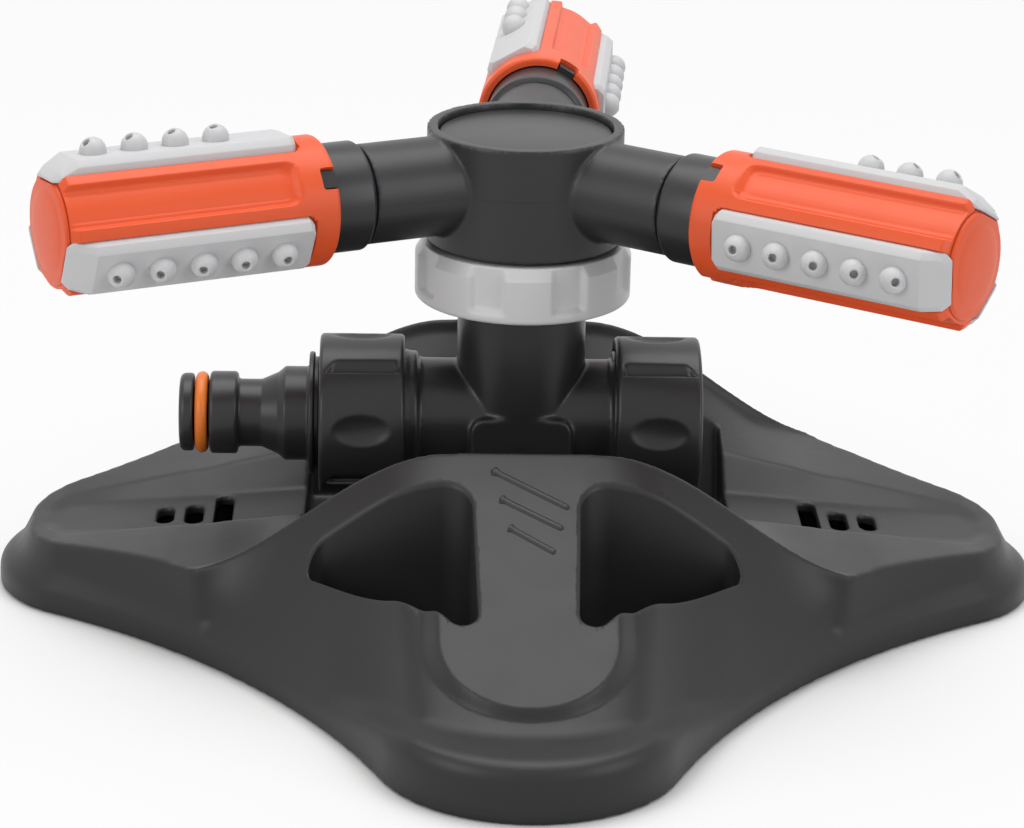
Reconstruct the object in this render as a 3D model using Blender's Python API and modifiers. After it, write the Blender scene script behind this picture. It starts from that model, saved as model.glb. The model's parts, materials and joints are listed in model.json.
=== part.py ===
"""Three-arm rotary garden sprinkler on a hollow four-lobed base, as separate pieces.

X runs along the hose, -Y is the front, +Z is up. The origin is on the ground, below the axis
that the rotor turns about. All sizes are in metres.
"""

import math

import bmesh
import bpy
from mathutils import Matrix, Vector

# Overall layout
ARM_COUNT = 3
ARM_AZIMUTH = 85.0
CLEARANCE = 0.0003
HUB_STEPS = 32
ROUND_STEPS = 24
SMALL_STEPS = 16
HOLE_STEPS = 12
NOSE_STEPS = 4
WAIST_STEPS = 9
CORNER_STEPS = 3
SLOT_STEPS = 4
DOME_STEPS = 3
WIRE_SIDES = 6
DIMPLE_STEPS = (8, 6)
NOZZLE_STEPS = (6, 4)
NOZZLE_HOLE_STEPS = 5

# How far a cutter runs past what it cuts, the gap within which points merge, and the smoothing angle
OVERSHOOT = 1.3
MERGE_GAP = 0.00002
SMOOTH_ANGLE = 35.0

# Base plan: round noses on four lobes, joined by hollow arcs
BASE_REACH_X = 0.1045
BASE_REACH_Y = 0.1145
SIDE_NOSE_R = 0.024
FRONT_NOSE_R = 0.029
WAIST_R = 0.160
BASE_WALL = 0.0024

# Base heights
SKIRT_FRONT_H = 0.0105
SKIRT_WAIST_H = 0.0048
SKIRT_ROUND = 0.0025
SKIRT_UPRIGHT_SHARE = 0.55
SKIRT_TALL_HALF = 0.016
CREST_Z = 0.0423
CREST_FLAT_HALF = 0.014
CREST_FOOT_HALF = 0.070
RIDGE_Y = 0.041
RIDGE_MARGIN = 0.0032
RIDGE_LIP_DROP = 0.0022
RIDGE_LIP_WIDTH = 0.0012
RIDGE_LIP_SHARE = 0.1
RIDGE_LIP_FADE = 4.0
RIDGE_TURN_COLUMNS = 4
LOBE_TOP_Z = 0.0170
LOBE_TOP_FALL = 0.152
NOSE_LAND = 0.0070

# Hose channel and the well round the tee
WELL_HALF_X = 0.0425
WELL_HALF_Y = 0.0220
WELL_TOP_Y = 0.0365
WELL_FLOOR_Z = 0.0090
WELL_WALL = 0.0020
CHANNEL_EDGE_HALF = 0.0190
CHANNEL_EDGE_Z = 0.0213
CHANNEL_EDGE_FALL = 0.165
CHANNEL_TAPER = 0.155
CHANNEL_FLOOR_Z = 0.0150
CHANNEL_FLOOR_FALL = 0.055
CHANNEL_FLOOR_SHARE = 0.60
CHANNEL_EDGE_SHARE = 0.62
LOBE_SHARES = (0.8, 0.55, 0.3)

# Drain slots in the channel floor
SLOT_COUNT = 3
SLOT_FIRST_X = 0.0595
SLOT_PITCH = 0.0060
SLOT_WIDTH = 0.0036
SLOT_FIRST_LENGTH = 0.0190
SLOT_LENGTH_STEP = 0.0060

# Pockets through the front and back slopes
POCKET_INNER_X = 0.0085
POCKET_OUTER_X = 0.0450
POCKET_REAR_Y = 0.0472
POCKET_FRONT_Y = 0.0845
POCKET_REAR_R = 0.0055
POCKET_TIP_R = 0.0028
POCKET_WALL = 0.0020
POCKET_FOOT_Z = 0.0020

# Pedestal below the tee and its two screws
PEDESTAL_SIDE = 0.0240
PEDESTAL_TOP_Z = 0.0140
PEDESTAL_FOOT_Z = 0.0050
SCREW_SPREAD = 0.0065
SCREW_HEAD_R = 0.0034
SCREW_HEAD_H = 0.0022
SCREW_CROWN_R = 0.0024
SCREW_CROWN_H = 0.0009
SCREW_SHANK_R = 0.0019
SCREW_LENGTH = 0.0150
SCREW_SEAT_Z = 0.0085

# Tee body
TUBE_R = 0.0115
THREAD_R = 0.0131
HOSE_BORE_R = 0.0080
FLANGE_R = 0.01285
FLANGE_WIDTH = 0.0022
INLET_SHOULDER_X = 0.0226
INLET_END_X = 0.0340
CAP_SHOULDER_X = 0.0183
CAP_END_X = 0.0316
RISER_R = 0.01275
RISER_BORE_R = 0.0084
RISER_FOOT_DROP = 0.0024
RISER_BORE_LIFT = 0.0040
BOSS_SIDE = 0.0200
BOSS_HALF_Y = 0.0122
BOSS_DROP = 0.0212
BOSS_RISE = 0.0013

# Swivel joint between riser and rotor
CUP_RISE = 0.0285
CUP_FLOOR_T = 0.0024
CUP_R = 0.0172
CUP_BORE_R = 0.0134
THRUST_WASHER_T = 0.0010
SPINDLE_FLANGE_T = 0.0016
SPINDLE_R = 0.0081
SPINDLE_NECK_R = 0.0090
SPINDLE_BORE_R = 0.0046
SPINDLE_DROP = 0.0170
SPINDLE_INSERT = 0.0040
SPINDLE_RING_DROP = 0.0100
SPINDLE_RING_WIRE_R = 0.0009

# Lock ring
LOCK_RING_R = 0.02135
LOCK_RING_SKIRT = 0.0075
LOCK_RING_LIP_T = 0.0036
LOCK_RING_CHAMFER = 0.0010
LOCK_NOTCH_COUNT = 8
LOCK_NOTCH_WIDTH = 0.0062
LOCK_NOTCH_DEPTH = 0.0013
LOCK_NOTCH_SILL = 0.0026
LOCK_NOTCH_TURN = 24.0

# Union nut and end cap
NUT_R = 0.0161
NUT_ROUND = 0.0010
NUT_LIP_T = 0.0018
NUT_LOBES = 4
NUT_GROOVE_TURN = 53.0
NUT_GROOVE_WIDTH = 0.0042
NUT_GROOVE_DEPTH = 0.0011
NUT_RIM = 0.0017
NUT_DIMPLE_LENGTH = 0.0092
NUT_DIMPLE_WIDTH = 0.0054
NUT_DIMPLE_DEPTH = 0.0009
NUT_GAP = 0.0005
CAP_FACE_T = 0.0022
WASHER_T = 0.0013
WASHER_BORE_R = 0.0082

# Hose adaptor, lengths from its tip inwards
ADAPTOR_TIP_X = 0.0679
ADAPTOR_TIP_LEN = 0.0028
ADAPTOR_TIP_R = 0.0078
ADAPTOR_TIP_ROUND = 0.0008
ADAPTOR_GROOVE_LEN = 0.0032
ADAPTOR_GROOVE_R = 0.0049
ADAPTOR_SHOULDER_LEN = 0.0056
ADAPTOR_SHOULDER_R = 0.00825
ADAPTOR_NECK_LEN = 0.0046
ADAPTOR_NECK_R = 0.00675
ADAPTOR_FLARE_LEN = 0.0038
ADAPTOR_FLARE_KNEE = (0.7, 0.4)
ADAPTOR_BODY_R = 0.0094
ADAPTOR_DISC_R = 0.0124
ADAPTOR_DISC_T = 0.0011
ADAPTOR_BARREL_R = 0.0100
ADAPTOR_FLANGE_R = 0.0126
ADAPTOR_FLANGE_T = 0.0020
ADAPTOR_BORE_R = 0.0037
ADAPTOR_RING_R = 0.00815
ADAPTOR_RING_WIRE_R = 0.00145

# Rotor: hub drum and arm tubes
HUB_R = 0.0193
HUB_GAP = 0.0008
HUB_HEIGHT = 0.0224
HUB_FLOOR_T = 0.0043
HUB_CHAMBER_R = 0.0120
ARM_RISE = 0.0123
HUB_RECESS_DEPTH = 0.0012
HUB_COVER_R = 0.0169
HUB_COVER_T = 0.0020
HUB_ROUND = 0.0006
ARM_TUBE_R = 0.0097
ARM_BORE_R = 0.0050
ARM_TUBE_END = 0.0358
SPIGOT_R = 0.0084
SPIGOT_LEN = 0.0140
SPIGOT_RING_OFFSET = 0.0052
SPIGOT_RING_WIRE_R = 0.0009
SNAP_GROOVE_OFFSET = 0.0109
SNAP_GROOVE_LEN = 0.0021
SNAP_GROOVE_R = 0.0071

# Nozzle heads, distances from the rotor axis along the arm
COLLAR_R = 0.0106
COLLAR_CHAMFER = 0.0010
COLLAR_LEN = 0.0139
LUG_R = 0.0117
LUG_WIDTH = 0.0034
RING_R = 0.0126
RING_OFFSET = 0.0089
RING_LEN = 0.0055
SHELL_NECK_R = 0.0117
NOTCH_WIDTH = 0.0042
NOTCH_LEN = 0.0032
SHELL_LEN = 0.0523
SHELL_BORE_R = 0.0074
STRIP_COUNT = 3
STRIP_PITCH = 360.0 / STRIP_COUNT
STRIP_SEAT = 0.0094
STRIP_HALF_WIDTH = 0.0056
STRIP_TOP_HALF_WIDTH = 0.0046
STRIP_HEIGHT = 0.0039
STRIP_BEVEL = 0.0012
STRIP_LEN = 0.0469
STRIP_SLOPE_LEN = 0.0052
STRIP_START_DROP = 0.0004
STRIP_TOE_LEN = 0.0010
STRIP_TOE_H = 0.0012
STRIP_TIP_H = 0.0006
GROOVE_R = 0.0114
GROOVE_HALF_ANGLE = 19.0
GROOVE_SLOPE_ANGLE = 2.0
GROOVE_LEN = 0.0440
WATER_SLOT_WIDTH = 0.0040
WATER_SLOT_LEN = 0.0340
NOZZLE_COUNTS = (5, 4, 3)
NOZZLE_PLACES = 5
NOZZLE_FIRST = 0.0059
NOZZLE_PITCH = 0.00815
NOZZLE_R = 0.00255
NOZZLE_SINK = 0.0001
NOZZLE_HOLE_R = 0.00075
HEAD_CAP_R = 0.0090
HEAD_CAP_T = 0.0023
HEAD_CAP_EDGE_T = 0.0010
HEAD_CAP_PLUG_LEN = 0.0050

# Heights and places that follow from the sizes above, from the ground up and from the hub outwards
HOSE_AXIS_Z = PEDESTAL_TOP_Z + CLEARANCE + BOSS_DROP
CUP_FLOOR_Z = HOSE_AXIS_Z + CUP_RISE
LOWER_WASHER_Z = CUP_FLOOR_Z + CLEARANCE
SPINDLE_FLANGE_Z = LOWER_WASHER_Z + THRUST_WASHER_T + CLEARANCE
UPPER_WASHER_Z = SPINDLE_FLANGE_Z + SPINDLE_FLANGE_T + CLEARANCE
LOCK_RING_SEAT_Z = UPPER_WASHER_Z + THRUST_WASHER_T + CLEARANCE
LOCK_RING_TOP_Z = LOCK_RING_SEAT_Z + LOCK_RING_LIP_T
LOCK_RING_FOOT_Z = LOCK_RING_SEAT_Z - LOCK_RING_SKIRT
HUB_FOOT_Z = LOCK_RING_TOP_Z + HUB_GAP
HUB_TOP_Z = HUB_FOOT_Z + HUB_HEIGHT
ARM_AXIS_Z = HUB_FOOT_Z + ARM_RISE
NUT_MOUTH_X = INLET_SHOULDER_X + NUT_GAP
INLET_WASHER_X = INLET_END_X + CLEARANCE
ADAPTOR_FLANGE_X = INLET_WASHER_X + WASHER_T + CLEARANCE
NUT_BACK_X = ADAPTOR_FLANGE_X + ADAPTOR_FLANGE_T + CLEARANCE + NUT_LIP_T
CAP_MOUTH_X = CAP_SHOULDER_X + NUT_GAP
CAP_WASHER_X = CAP_END_X + CLEARANCE
CAP_BACK_X = CAP_WASHER_X + WASHER_T + CLEARANCE + CAP_FACE_T
SPIGOT_END = ARM_TUBE_END + SPIGOT_LEN
SPIGOT_RING_S = ARM_TUBE_END + SPIGOT_RING_OFFSET
SNAP_GROOVE_S = ARM_TUBE_END + SNAP_GROOVE_OFFSET
COLLAR_START = ARM_TUBE_END + CLEARANCE
COLLAR_END = COLLAR_START + COLLAR_LEN
RING_START = ARM_TUBE_END + RING_OFFSET
RING_END = RING_START + RING_LEN
SHELL_END = RING_START + SHELL_LEN
STRIP_START = RING_END + CLEARANCE
STRIP_END = STRIP_START + STRIP_LEN

# Each arm's name and where its first strip faces at rest: degrees up from the right, looking outwards
HEADS = (("rear", 0.0), ("left", -155.0), ("right", -4.0))

COLOURS = {
    "dark_plastic": ((0.045, 0.045, 0.047), 0.45),
    "satin_plastic": ((0.040, 0.040, 0.042), 0.35),
    "light_plastic": ((0.52, 0.52, 0.53), 0.45),
    "nozzle_plastic": ((0.55, 0.55, 0.56), 0.50),
    "orange_plastic": ((0.86, 0.11, 0.024), 0.40),
    "orange_rubber": ((0.80, 0.18, 0.02), 0.50),
    "black_rubber": ((0.02, 0.02, 0.02), 0.70),
    "steel": ((0.60, 0.60, 0.62), 0.30),
}


def remove_everything():
    for obj in list(bpy.data.objects):
        bpy.data.objects.remove(obj, do_unlink=True)


def new_collection(name):
    collection = bpy.data.collections.new(name)
    bpy.context.scene.collection.children.link(collection)
    return collection


def give_material(obj, finish):
    """Its own material, with the finish's colour and roughness."""
    colour, roughness = COLOURS[finish]
    material = bpy.data.materials.new(obj.name + "_" + finish)
    material.use_nodes = True
    shader = material.node_tree.nodes["Principled BSDF"]
    shader.inputs["Base Color"].default_value = (*colour, 1.0)
    shader.inputs["Roughness"].default_value = roughness
    shader.inputs["Metallic"].default_value = 1.0 if finish == "steel" else 0.0
    obj.data.materials.clear()
    obj.data.materials.append(material)


def add_object(name, mesh, collection):
    obj = bpy.data.objects.new(name, mesh)
    collection.objects.link(obj)
    return obj


def mesh_from(name, bm):
    mesh = bpy.data.meshes.new(name)
    bm.to_mesh(mesh)
    bm.free()
    return mesh


def smooth(mesh):
    mesh.shade_smooth()
    mesh.set_sharp_from_angle(angle=math.radians(SMOOTH_ANGLE))


def turned_mesh(name, profile, steps=ROUND_STEPS):
    """A closed profile of (radius, height) points turned about Z, run down its outer side first."""
    bm = bmesh.new()
    points = [bm.verts.new((radius, 0.0, height)) for radius, height in profile]
    on_axis = profile[0][0] == 0.0 and profile[-1][0] == 0.0
    for first, second in zip(points, points[1:]):
        bm.edges.new((first, second))
    if not on_axis:
        bm.edges.new((points[-1], points[0]))
    obj = add_object(name, mesh_from(name, bm), CUTTERS)
    screw = obj.modifiers.new("Turn", "SCREW")
    screw.axis = "Z"
    screw.steps = steps
    screw.render_steps = steps
    screw.use_merge_vertices = True
    screw.merge_threshold = MERGE_GAP / 2.0
    return baked(obj, name)


def baked(obj, name):
    """The evaluated mesh of a working object, which is then removed."""
    graph = bpy.context.evaluated_depsgraph_get()
    mesh = bpy.data.meshes.new_from_object(obj.evaluated_get(graph))
    mesh.name = name
    bpy.data.objects.remove(obj, do_unlink=True)
    return mesh


def moved(mesh, matrix):
    mesh.transform(matrix)
    return mesh


def along_x(mesh):
    """Turns a mesh made about Z so that its axis lies along +X."""
    return moved(mesh, Matrix.Rotation(math.radians(90.0), 4, "Y"))


def box_mesh(name, low, high):
    low, high = Vector(low), Vector(high)
    bm = bmesh.new()
    bmesh.ops.create_cube(bm, size=1.0)
    bmesh.ops.scale(bm, vec=high - low, verts=bm.verts)
    bmesh.ops.translate(bm, vec=(high + low) / 2.0, verts=bm.verts)
    return mesh_from(name, bm)


def rod_mesh(name, radius, start, end, steps=SMALL_STEPS):
    """A plain cylinder about Z from start to end."""
    bm = bmesh.new()
    bmesh.ops.create_cone(
        bm, cap_ends=True, segments=steps, radius1=radius, radius2=radius, depth=end - start
    )
    bmesh.ops.translate(bm, vec=(0.0, 0.0, (start + end) / 2.0), verts=bm.verts)
    return mesh_from(name, bm)


def ring_mesh(name, centre_r, wire_r):
    """An O-ring about Z, as a turned circle."""
    angles = [2.0 * math.pi * i / WIRE_SIDES for i in range(WIRE_SIDES)]
    profile = [(centre_r + wire_r * math.cos(a), -wire_r * math.sin(a)) for a in angles]
    return turned_mesh(name, profile, SMALL_STEPS)


def prism_mesh(name, outline, low, high):
    """A flat outline of (x, y) points, given a height from low to high."""
    bm = bmesh.new()
    verts = [bm.verts.new((x, y, low)) for x, y in outline]
    raised = bmesh.ops.extrude_face_region(bm, geom=[bm.faces.new(verts)])["geom"]
    tops = [item for item in raised if isinstance(item, bmesh.types.BMVert)]
    bmesh.ops.translate(bm, vec=(0.0, 0.0, high - low), verts=tops)
    bmesh.ops.recalc_face_normals(bm, faces=bm.faces)
    return mesh_from(name, bm)


def lofted_mesh(name, sections):
    """A closed solid through sections of as many points each, with flat ends."""
    bm = bmesh.new()
    rows = [[bm.verts.new(point) for point in section] for section in sections]
    count = len(rows[0])
    for low, high in zip(rows, rows[1:]):
        for i in range(count):
            j = (i + 1) % count
            bm.faces.new((low[i], low[j], high[j], high[i]))
    bm.faces.new(rows[0][::-1])
    bm.faces.new(rows[-1])
    bmesh.ops.recalc_face_normals(bm, faces=bm.faces)
    return mesh_from(name, bm)


def rounded_corner(before, corner, after, radius, steps):
    """Points of the arc that rounds a corner of a flat outline."""
    before, corner, after = Vector(before), Vector(corner), Vector(after)
    into, out = (before - corner).normalized(), (after - corner).normalized()
    half = into.angle(out) / 2.0
    reach = radius / math.tan(half)
    centre = corner + (into + out).normalized() * radius / math.sin(half)
    start, end = corner + into * reach - centre, corner + out * reach - centre
    turn = start.angle_signed(end)
    points = []
    for i in range(steps + 1):
        point = start.copy()
        point.rotate(Matrix.Rotation(-turn * i / steps, 2))
        points.append(tuple(centre + point))
    return points


def cut(obj, mesh, operation="DIFFERENCE"):
    """Cuts or joins a working mesh into an object, and keeps the cutter out of sight."""
    cutter = add_object(mesh.name, mesh, CUTTERS)
    cutter.hide_render = True
    cutter.display_type = "WIRE"
    boolean = obj.modifiers.new(operation.title(), "BOOLEAN")
    boolean.operation = operation
    boolean.solver = "EXACT"
    boolean.object = cutter
    return obj


def join(obj, mesh):
    return cut(obj, mesh, "UNION")


def settled(obj):
    """Replaces an object's mesh by its evaluated one, with no modifier left."""
    graph = bpy.context.evaluated_depsgraph_get()
    mesh = bpy.data.meshes.new_from_object(obj.evaluated_get(graph))
    cutters = [m.object for m in obj.modifiers if m.type == "BOOLEAN"]
    obj.modifiers.clear()
    mesh.name = obj.name
    obj.data = mesh
    for cutter in cutters:
        bpy.data.objects.remove(cutter, do_unlink=True)
    return obj


def finish(obj, finish_name, parent=None):
    """Smooth shading, the material and the parent of a finished piece."""
    smooth(obj.data)
    give_material(obj, finish_name)
    if parent is not None:
        obj.parent = parent
    return obj


def ease(share):
    """From 1 at share 0 to 0 at share 1, level at both ends."""
    share = min(1.0, max(0.0, share))
    return 0.5 * (1.0 + math.cos(math.pi * share))


# Base


def waist_centre():
    """Centre of the hollow arc that touches the noses of a side lobe and an end lobe."""
    side = Vector((BASE_REACH_X - SIDE_NOSE_R, 0.0))
    front = Vector((0.0, BASE_REACH_Y - FRONT_NOSE_R))
    side_gap, front_gap = WAIST_R + SIDE_NOSE_R, WAIST_R + FRONT_NOSE_R
    span = front - side
    along = (side_gap**2 - front_gap**2 + span.length**2) / (2.0 * span.length)
    across = math.sqrt(side_gap**2 - along**2)
    unit = span.normalized()
    return side + unit * along + Vector((unit.y, -unit.x)) * across


def outline_columns():
    """A quarter of the base plan from the side nose to the end nose.

    Each column has its point, the unit outward, the ridge's set-back and where its channel floor ends.
    """
    side = Vector((BASE_REACH_X - SIDE_NOSE_R, 0.0))
    front = Vector((0.0, BASE_REACH_Y - FRONT_NOSE_R))
    hollow = waist_centre()
    side_touch = side + (hollow - side).normalized() * SIDE_NOSE_R
    front_touch = front + (hollow - front).normalized() * FRONT_NOSE_R
    columns = []
    side_angle = math.atan2(*(side_touch - side).yx)
    fan_x = side_touch.x - RIDGE_MARGIN * math.cos(side_angle)
    for i in range(NOSE_STEPS):
        angle = side_angle * i / NOSE_STEPS
        unit = Vector((math.cos(angle), math.sin(angle)))
        land = NOSE_LAND + (RIDGE_MARGIN - NOSE_LAND) * i / NOSE_STEPS
        columns.append((side + unit * SIDE_NOSE_R, unit, unit * land, fan_x))
    for i in range(WAIST_STEPS + 1):
        x = side_touch.x + (front_touch.x - side_touch.x) * i / WAIST_STEPS
        y = hollow.y - math.sqrt(WAIST_R**2 - (hollow.x - x) ** 2)
        point = Vector((x, y))
        unit = (hollow - point).normalized()
        set_back = Vector((unit.x * max(0.0, 1.0 - i / RIDGE_TURN_COLUMNS), unit.y)) * RIDGE_MARGIN
        columns.append((point, unit, set_back, x - set_back.x))
    front_angle = math.atan2(*(front_touch - front).yx)
    for i in range(1, NOSE_STEPS + 1):
        angle = front_angle + (math.pi / 2.0 - front_angle) * i / NOSE_STEPS
        unit = Vector((math.cos(angle), math.sin(angle)))
        point = front + unit * FRONT_NOSE_R
        columns.append((point, unit, Vector((0.0, RIDGE_MARGIN)), point.x))
    return columns


def skirt_height(x):
    """Tall at the end noses, low in the waist and on the side lobes."""
    share = (x - SKIRT_TALL_HALF) / FRONT_NOSE_R
    return SKIRT_WAIST_H + (SKIRT_FRONT_H - SKIRT_WAIST_H) * ease(share)


def lobe_top(x):
    return LOBE_TOP_Z - max(0.0, x - CREST_FOOT_HALF) * LOBE_TOP_FALL


def ridge_height(x):
    share = (x - CREST_FLAT_HALF) / (CREST_FOOT_HALF - CREST_FLAT_HALF)
    return lobe_top(x) + (CREST_Z - lobe_top(x)) * ease(share)


def base_column(point, unit, set_back, axis_x):
    """Heights and places of one column of the base skin, from the ground up and then inwards."""
    skirt = skirt_height(point.x)
    inset = point - unit * SKIRT_ROUND
    top = point - set_back
    top.y = min(RIDGE_Y, top.y)
    lobe = top.x - axis_x
    ridge = ridge_height(top.x)
    raised = (ridge - lobe_top(top.x)) / (CREST_Z - LOBE_TOP_Z)
    foot_y = top.y - min(RIDGE_LIP_WIDTH, top.y * RIDGE_LIP_SHARE)
    foot_z = ridge - RIDGE_LIP_DROP * min(1.0, raised * RIDGE_LIP_FADE)
    beyond = axis_x - WELL_HALF_X
    edge_y = min(CHANNEL_EDGE_HALF - beyond * CHANNEL_TAPER, top.y * CHANNEL_EDGE_SHARE)
    edge_z = min(CHANNEL_EDGE_Z - beyond * CHANNEL_EDGE_FALL, foot_z)
    floor_z = min(CHANNEL_FLOOR_Z - beyond * CHANNEL_FLOOR_FALL, edge_z)
    return [
        (point.x, point.y, 0.0),
        (point.x, point.y, skirt * SKIRT_UPRIGHT_SHARE),
        (inset.x, inset.y, skirt),
        (top.x, top.y, ridge),
        (axis_x + lobe * LOBE_SHARES[0], foot_y, foot_z),
        (axis_x + lobe * LOBE_SHARES[1], edge_y, edge_z),
        (axis_x + lobe * LOBE_SHARES[2], edge_y * CHANNEL_FLOOR_SHARE, floor_z),
        (axis_x, 0.0, floor_z),
    ]


def base_skin_mesh(levels):
    """A quarter of the base's outer skin, open at the ground and at both planes of symmetry."""
    bm = bmesh.new()
    rows = []
    for column in outline_columns():
        places = base_column(*column)
        rows.append([bm.verts.new(places[k]) for k in levels])
    for first, second in zip(rows, rows[1:]):
        for k in range(len(first) - 1):
            bm.faces.new((first[k], second[k], second[k + 1], first[k + 1]))
    for vert in rows[0]:
        vert.co.y = 0.0
    for vert in rows[-1]:
        vert.co.x = 0.0
    bmesh.ops.remove_doubles(bm, verts=bm.verts, dist=MERGE_GAP)
    return mesh_from("base_skin", bm)


def base_block_mesh(name, levels, wall=0.0):
    """The base filled down to a flat foot. With a wall it is the hollow that the wall leaves."""
    obj = add_object(name, base_skin_mesh(levels), CUTTERS)
    mirror = obj.modifiers.new("Four quarters", "MIRROR")
    mirror.use_axis = (True, True, False)
    mirror.merge_threshold = MERGE_GAP
    if wall > 0.0:
        inwards = obj.modifiers.new("Wall", "DISPLACE")
        inwards.direction = "NORMAL"
        inwards.mid_level = 0.0
        inwards.strength = -wall
    mesh = baked(obj, name)
    bm = bmesh.new()
    bm.from_mesh(mesh)
    rim = [edge for edge in bm.edges if edge.is_boundary]
    foot = {vert for edge in rim for vert in edge.verts}
    bmesh.ops.translate(bm, vec=(0.0, 0.0, -wall), verts=list(foot))
    bmesh.ops.contextual_create(bm, geom=rim)
    bmesh.ops.recalc_face_normals(bm, faces=bm.faces)
    bm.to_mesh(mesh)
    bm.free()
    return mesh


def pocket_outline(grow, flip_x, flip_y):
    """A three-cornered pocket with round corners, grown outwards by an amount."""
    rear_inner = (POCKET_INNER_X - grow, POCKET_REAR_Y - grow)
    slope = Vector((POCKET_OUTER_X - POCKET_INNER_X, POCKET_REAR_Y - POCKET_FRONT_Y)).normalized()
    lean_inner = grow * (1.0 + slope.x) / abs(slope.y)
    lean_outer = grow * (1.0 + abs(slope.y)) / slope.x
    front = (POCKET_INNER_X - grow, POCKET_FRONT_Y + lean_inner)
    outer = (POCKET_OUTER_X + lean_outer, POCKET_REAR_Y - grow)
    corners = ((rear_inner, POCKET_REAR_R), (front, POCKET_TIP_R), (outer, POCKET_TIP_R))
    points = []
    for i, (corner, radius) in enumerate(corners):
        before, after = corners[i - 1][0], corners[(i + 1) % 3][0]
        points += rounded_corner(before, corner, after, radius + grow, CORNER_STEPS)
    return [(x * flip_x, y * flip_y) for x, y in points]


def well_mesh(name, grow, low, high):
    """A straight-ended trough that widens upwards, grown outwards by an amount."""
    lean = (WELL_TOP_Y - WELL_HALF_Y) / (CREST_Z - RIDGE_LIP_DROP - WELL_FLOOR_Z)
    side = grow * math.hypot(1.0, lean)
    end = WELL_HALF_X + grow
    sections = []
    for height in (low, high):
        half = WELL_HALF_Y + (height - WELL_FLOOR_Z) * lean + side
        sections.append([(x * end, y * half, height) for x, y in ((1, -1), (1, 1), (-1, 1), (-1, -1))])
    return lofted_mesh(name, sections)


def slot_outline(x, length):
    """A drain slot across the channel, with round ends."""
    half, radius = length / 2.0, SLOT_WIDTH / 2.0
    points = []
    for end in (1, -1):
        for i in range(SLOT_STEPS + 1):
            angle = math.pi * i / SLOT_STEPS + (0.0 if end > 0 else math.pi)
            y = end * (half - radius) + radius * math.sin(angle)
            points.append((x + radius * math.cos(angle), y))
    return points


def make_base():
    """Hollow four-lobed base with a channel, a well with a pedestal, and four lined pockets."""
    quarters = [(x, y) for x in (1, -1) for y in (1, -1)]
    half = PEDESTAL_SIDE / 2.0
    hollow = add_object("hollow", base_block_mesh("hollow", HOLLOW_LEVELS, BASE_WALL), CUTTERS)
    for x, y in quarters:
        outline = pocket_outline(POCKET_WALL, x, y)
        cut(hollow, prism_mesh("pocket_lining", outline, POCKET_FOOT_Z, CREST_Z * OVERSHOOT))
    cut(hollow, well_mesh("well_lining", WELL_WALL, WELL_FLOOR_Z - WELL_WALL, CREST_Z * OVERSHOOT))
    cut(hollow, box_mesh("pedestal_core", (-half, -half, PEDESTAL_FOOT_Z), (half, half, WELL_FLOOR_Z)))
    settled(hollow)
    base = add_object("base", base_block_mesh("base", SKIN_LEVELS), PARTS)
    cut(base, hollow.data)
    bpy.data.objects.remove(hollow, do_unlink=True)
    cut(base, well_mesh("well", 0.0, WELL_FLOOR_Z, CREST_Z * OVERSHOOT))
    join(base, box_mesh("pedestal", (-half, -half, PEDESTAL_FOOT_Z), (half, half, PEDESTAL_TOP_Z)))
    for x, y in quarters:
        cut(base, prism_mesh("pocket", pocket_outline(0.0, x, y), -CREST_Z, CREST_Z * 2.0))
    for side in (1, -1):
        for i in range(SLOT_COUNT):
            x = side * (SLOT_FIRST_X + SLOT_PITCH * i)
            outline = slot_outline(x, SLOT_FIRST_LENGTH - SLOT_LENGTH_STEP * i)
            cut(base, prism_mesh("drain_slot", outline, BASE_WALL, CREST_Z))
        place = Matrix.Translation((side * SCREW_SPREAD, 0.0, 0.0))
        hole_r = SCREW_SHANK_R + CLEARANCE
        well_r = SCREW_HEAD_R + 2.0 * CLEARANCE
        hole = rod_mesh("screw_hole", hole_r, 0.0, PEDESTAL_TOP_Z * OVERSHOOT, HOLE_STEPS)
        cut(base, moved(hole, place))
        cut(base, moved(rod_mesh("screw_well", well_r, 0.0, SCREW_SEAT_Z), place))
    settled(base)
    finish(base, "dark_plastic")


def make_base_screws():
    """Two pan-head screws that hold the tee to the pedestal."""
    top = SCREW_SEAT_Z - CLEARANCE
    profile = [
        (0.0, top + SCREW_LENGTH),
        (SCREW_SHANK_R * 0.5, top + SCREW_LENGTH),
        (SCREW_SHANK_R, top + SCREW_LENGTH - SCREW_SHANK_R),
        (SCREW_SHANK_R, top),
        (SCREW_HEAD_R, top),
        (SCREW_HEAD_R, top - SCREW_HEAD_H + SCREW_CROWN_H),
        (SCREW_CROWN_R, top - SCREW_HEAD_H),
        (0.0, top - SCREW_HEAD_H),
    ]
    for side, name in ((-1, "base_screw_1"), (1, "base_screw_2")):
        screw = add_object(name, turned_mesh(name, profile, HOLE_STEPS), PARTS)
        screw.location = (side * SCREW_SPREAD, 0.0, 0.0)
        finish(screw, "steel")


# Tee body, hose adaptor, union nut and end cap


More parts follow.
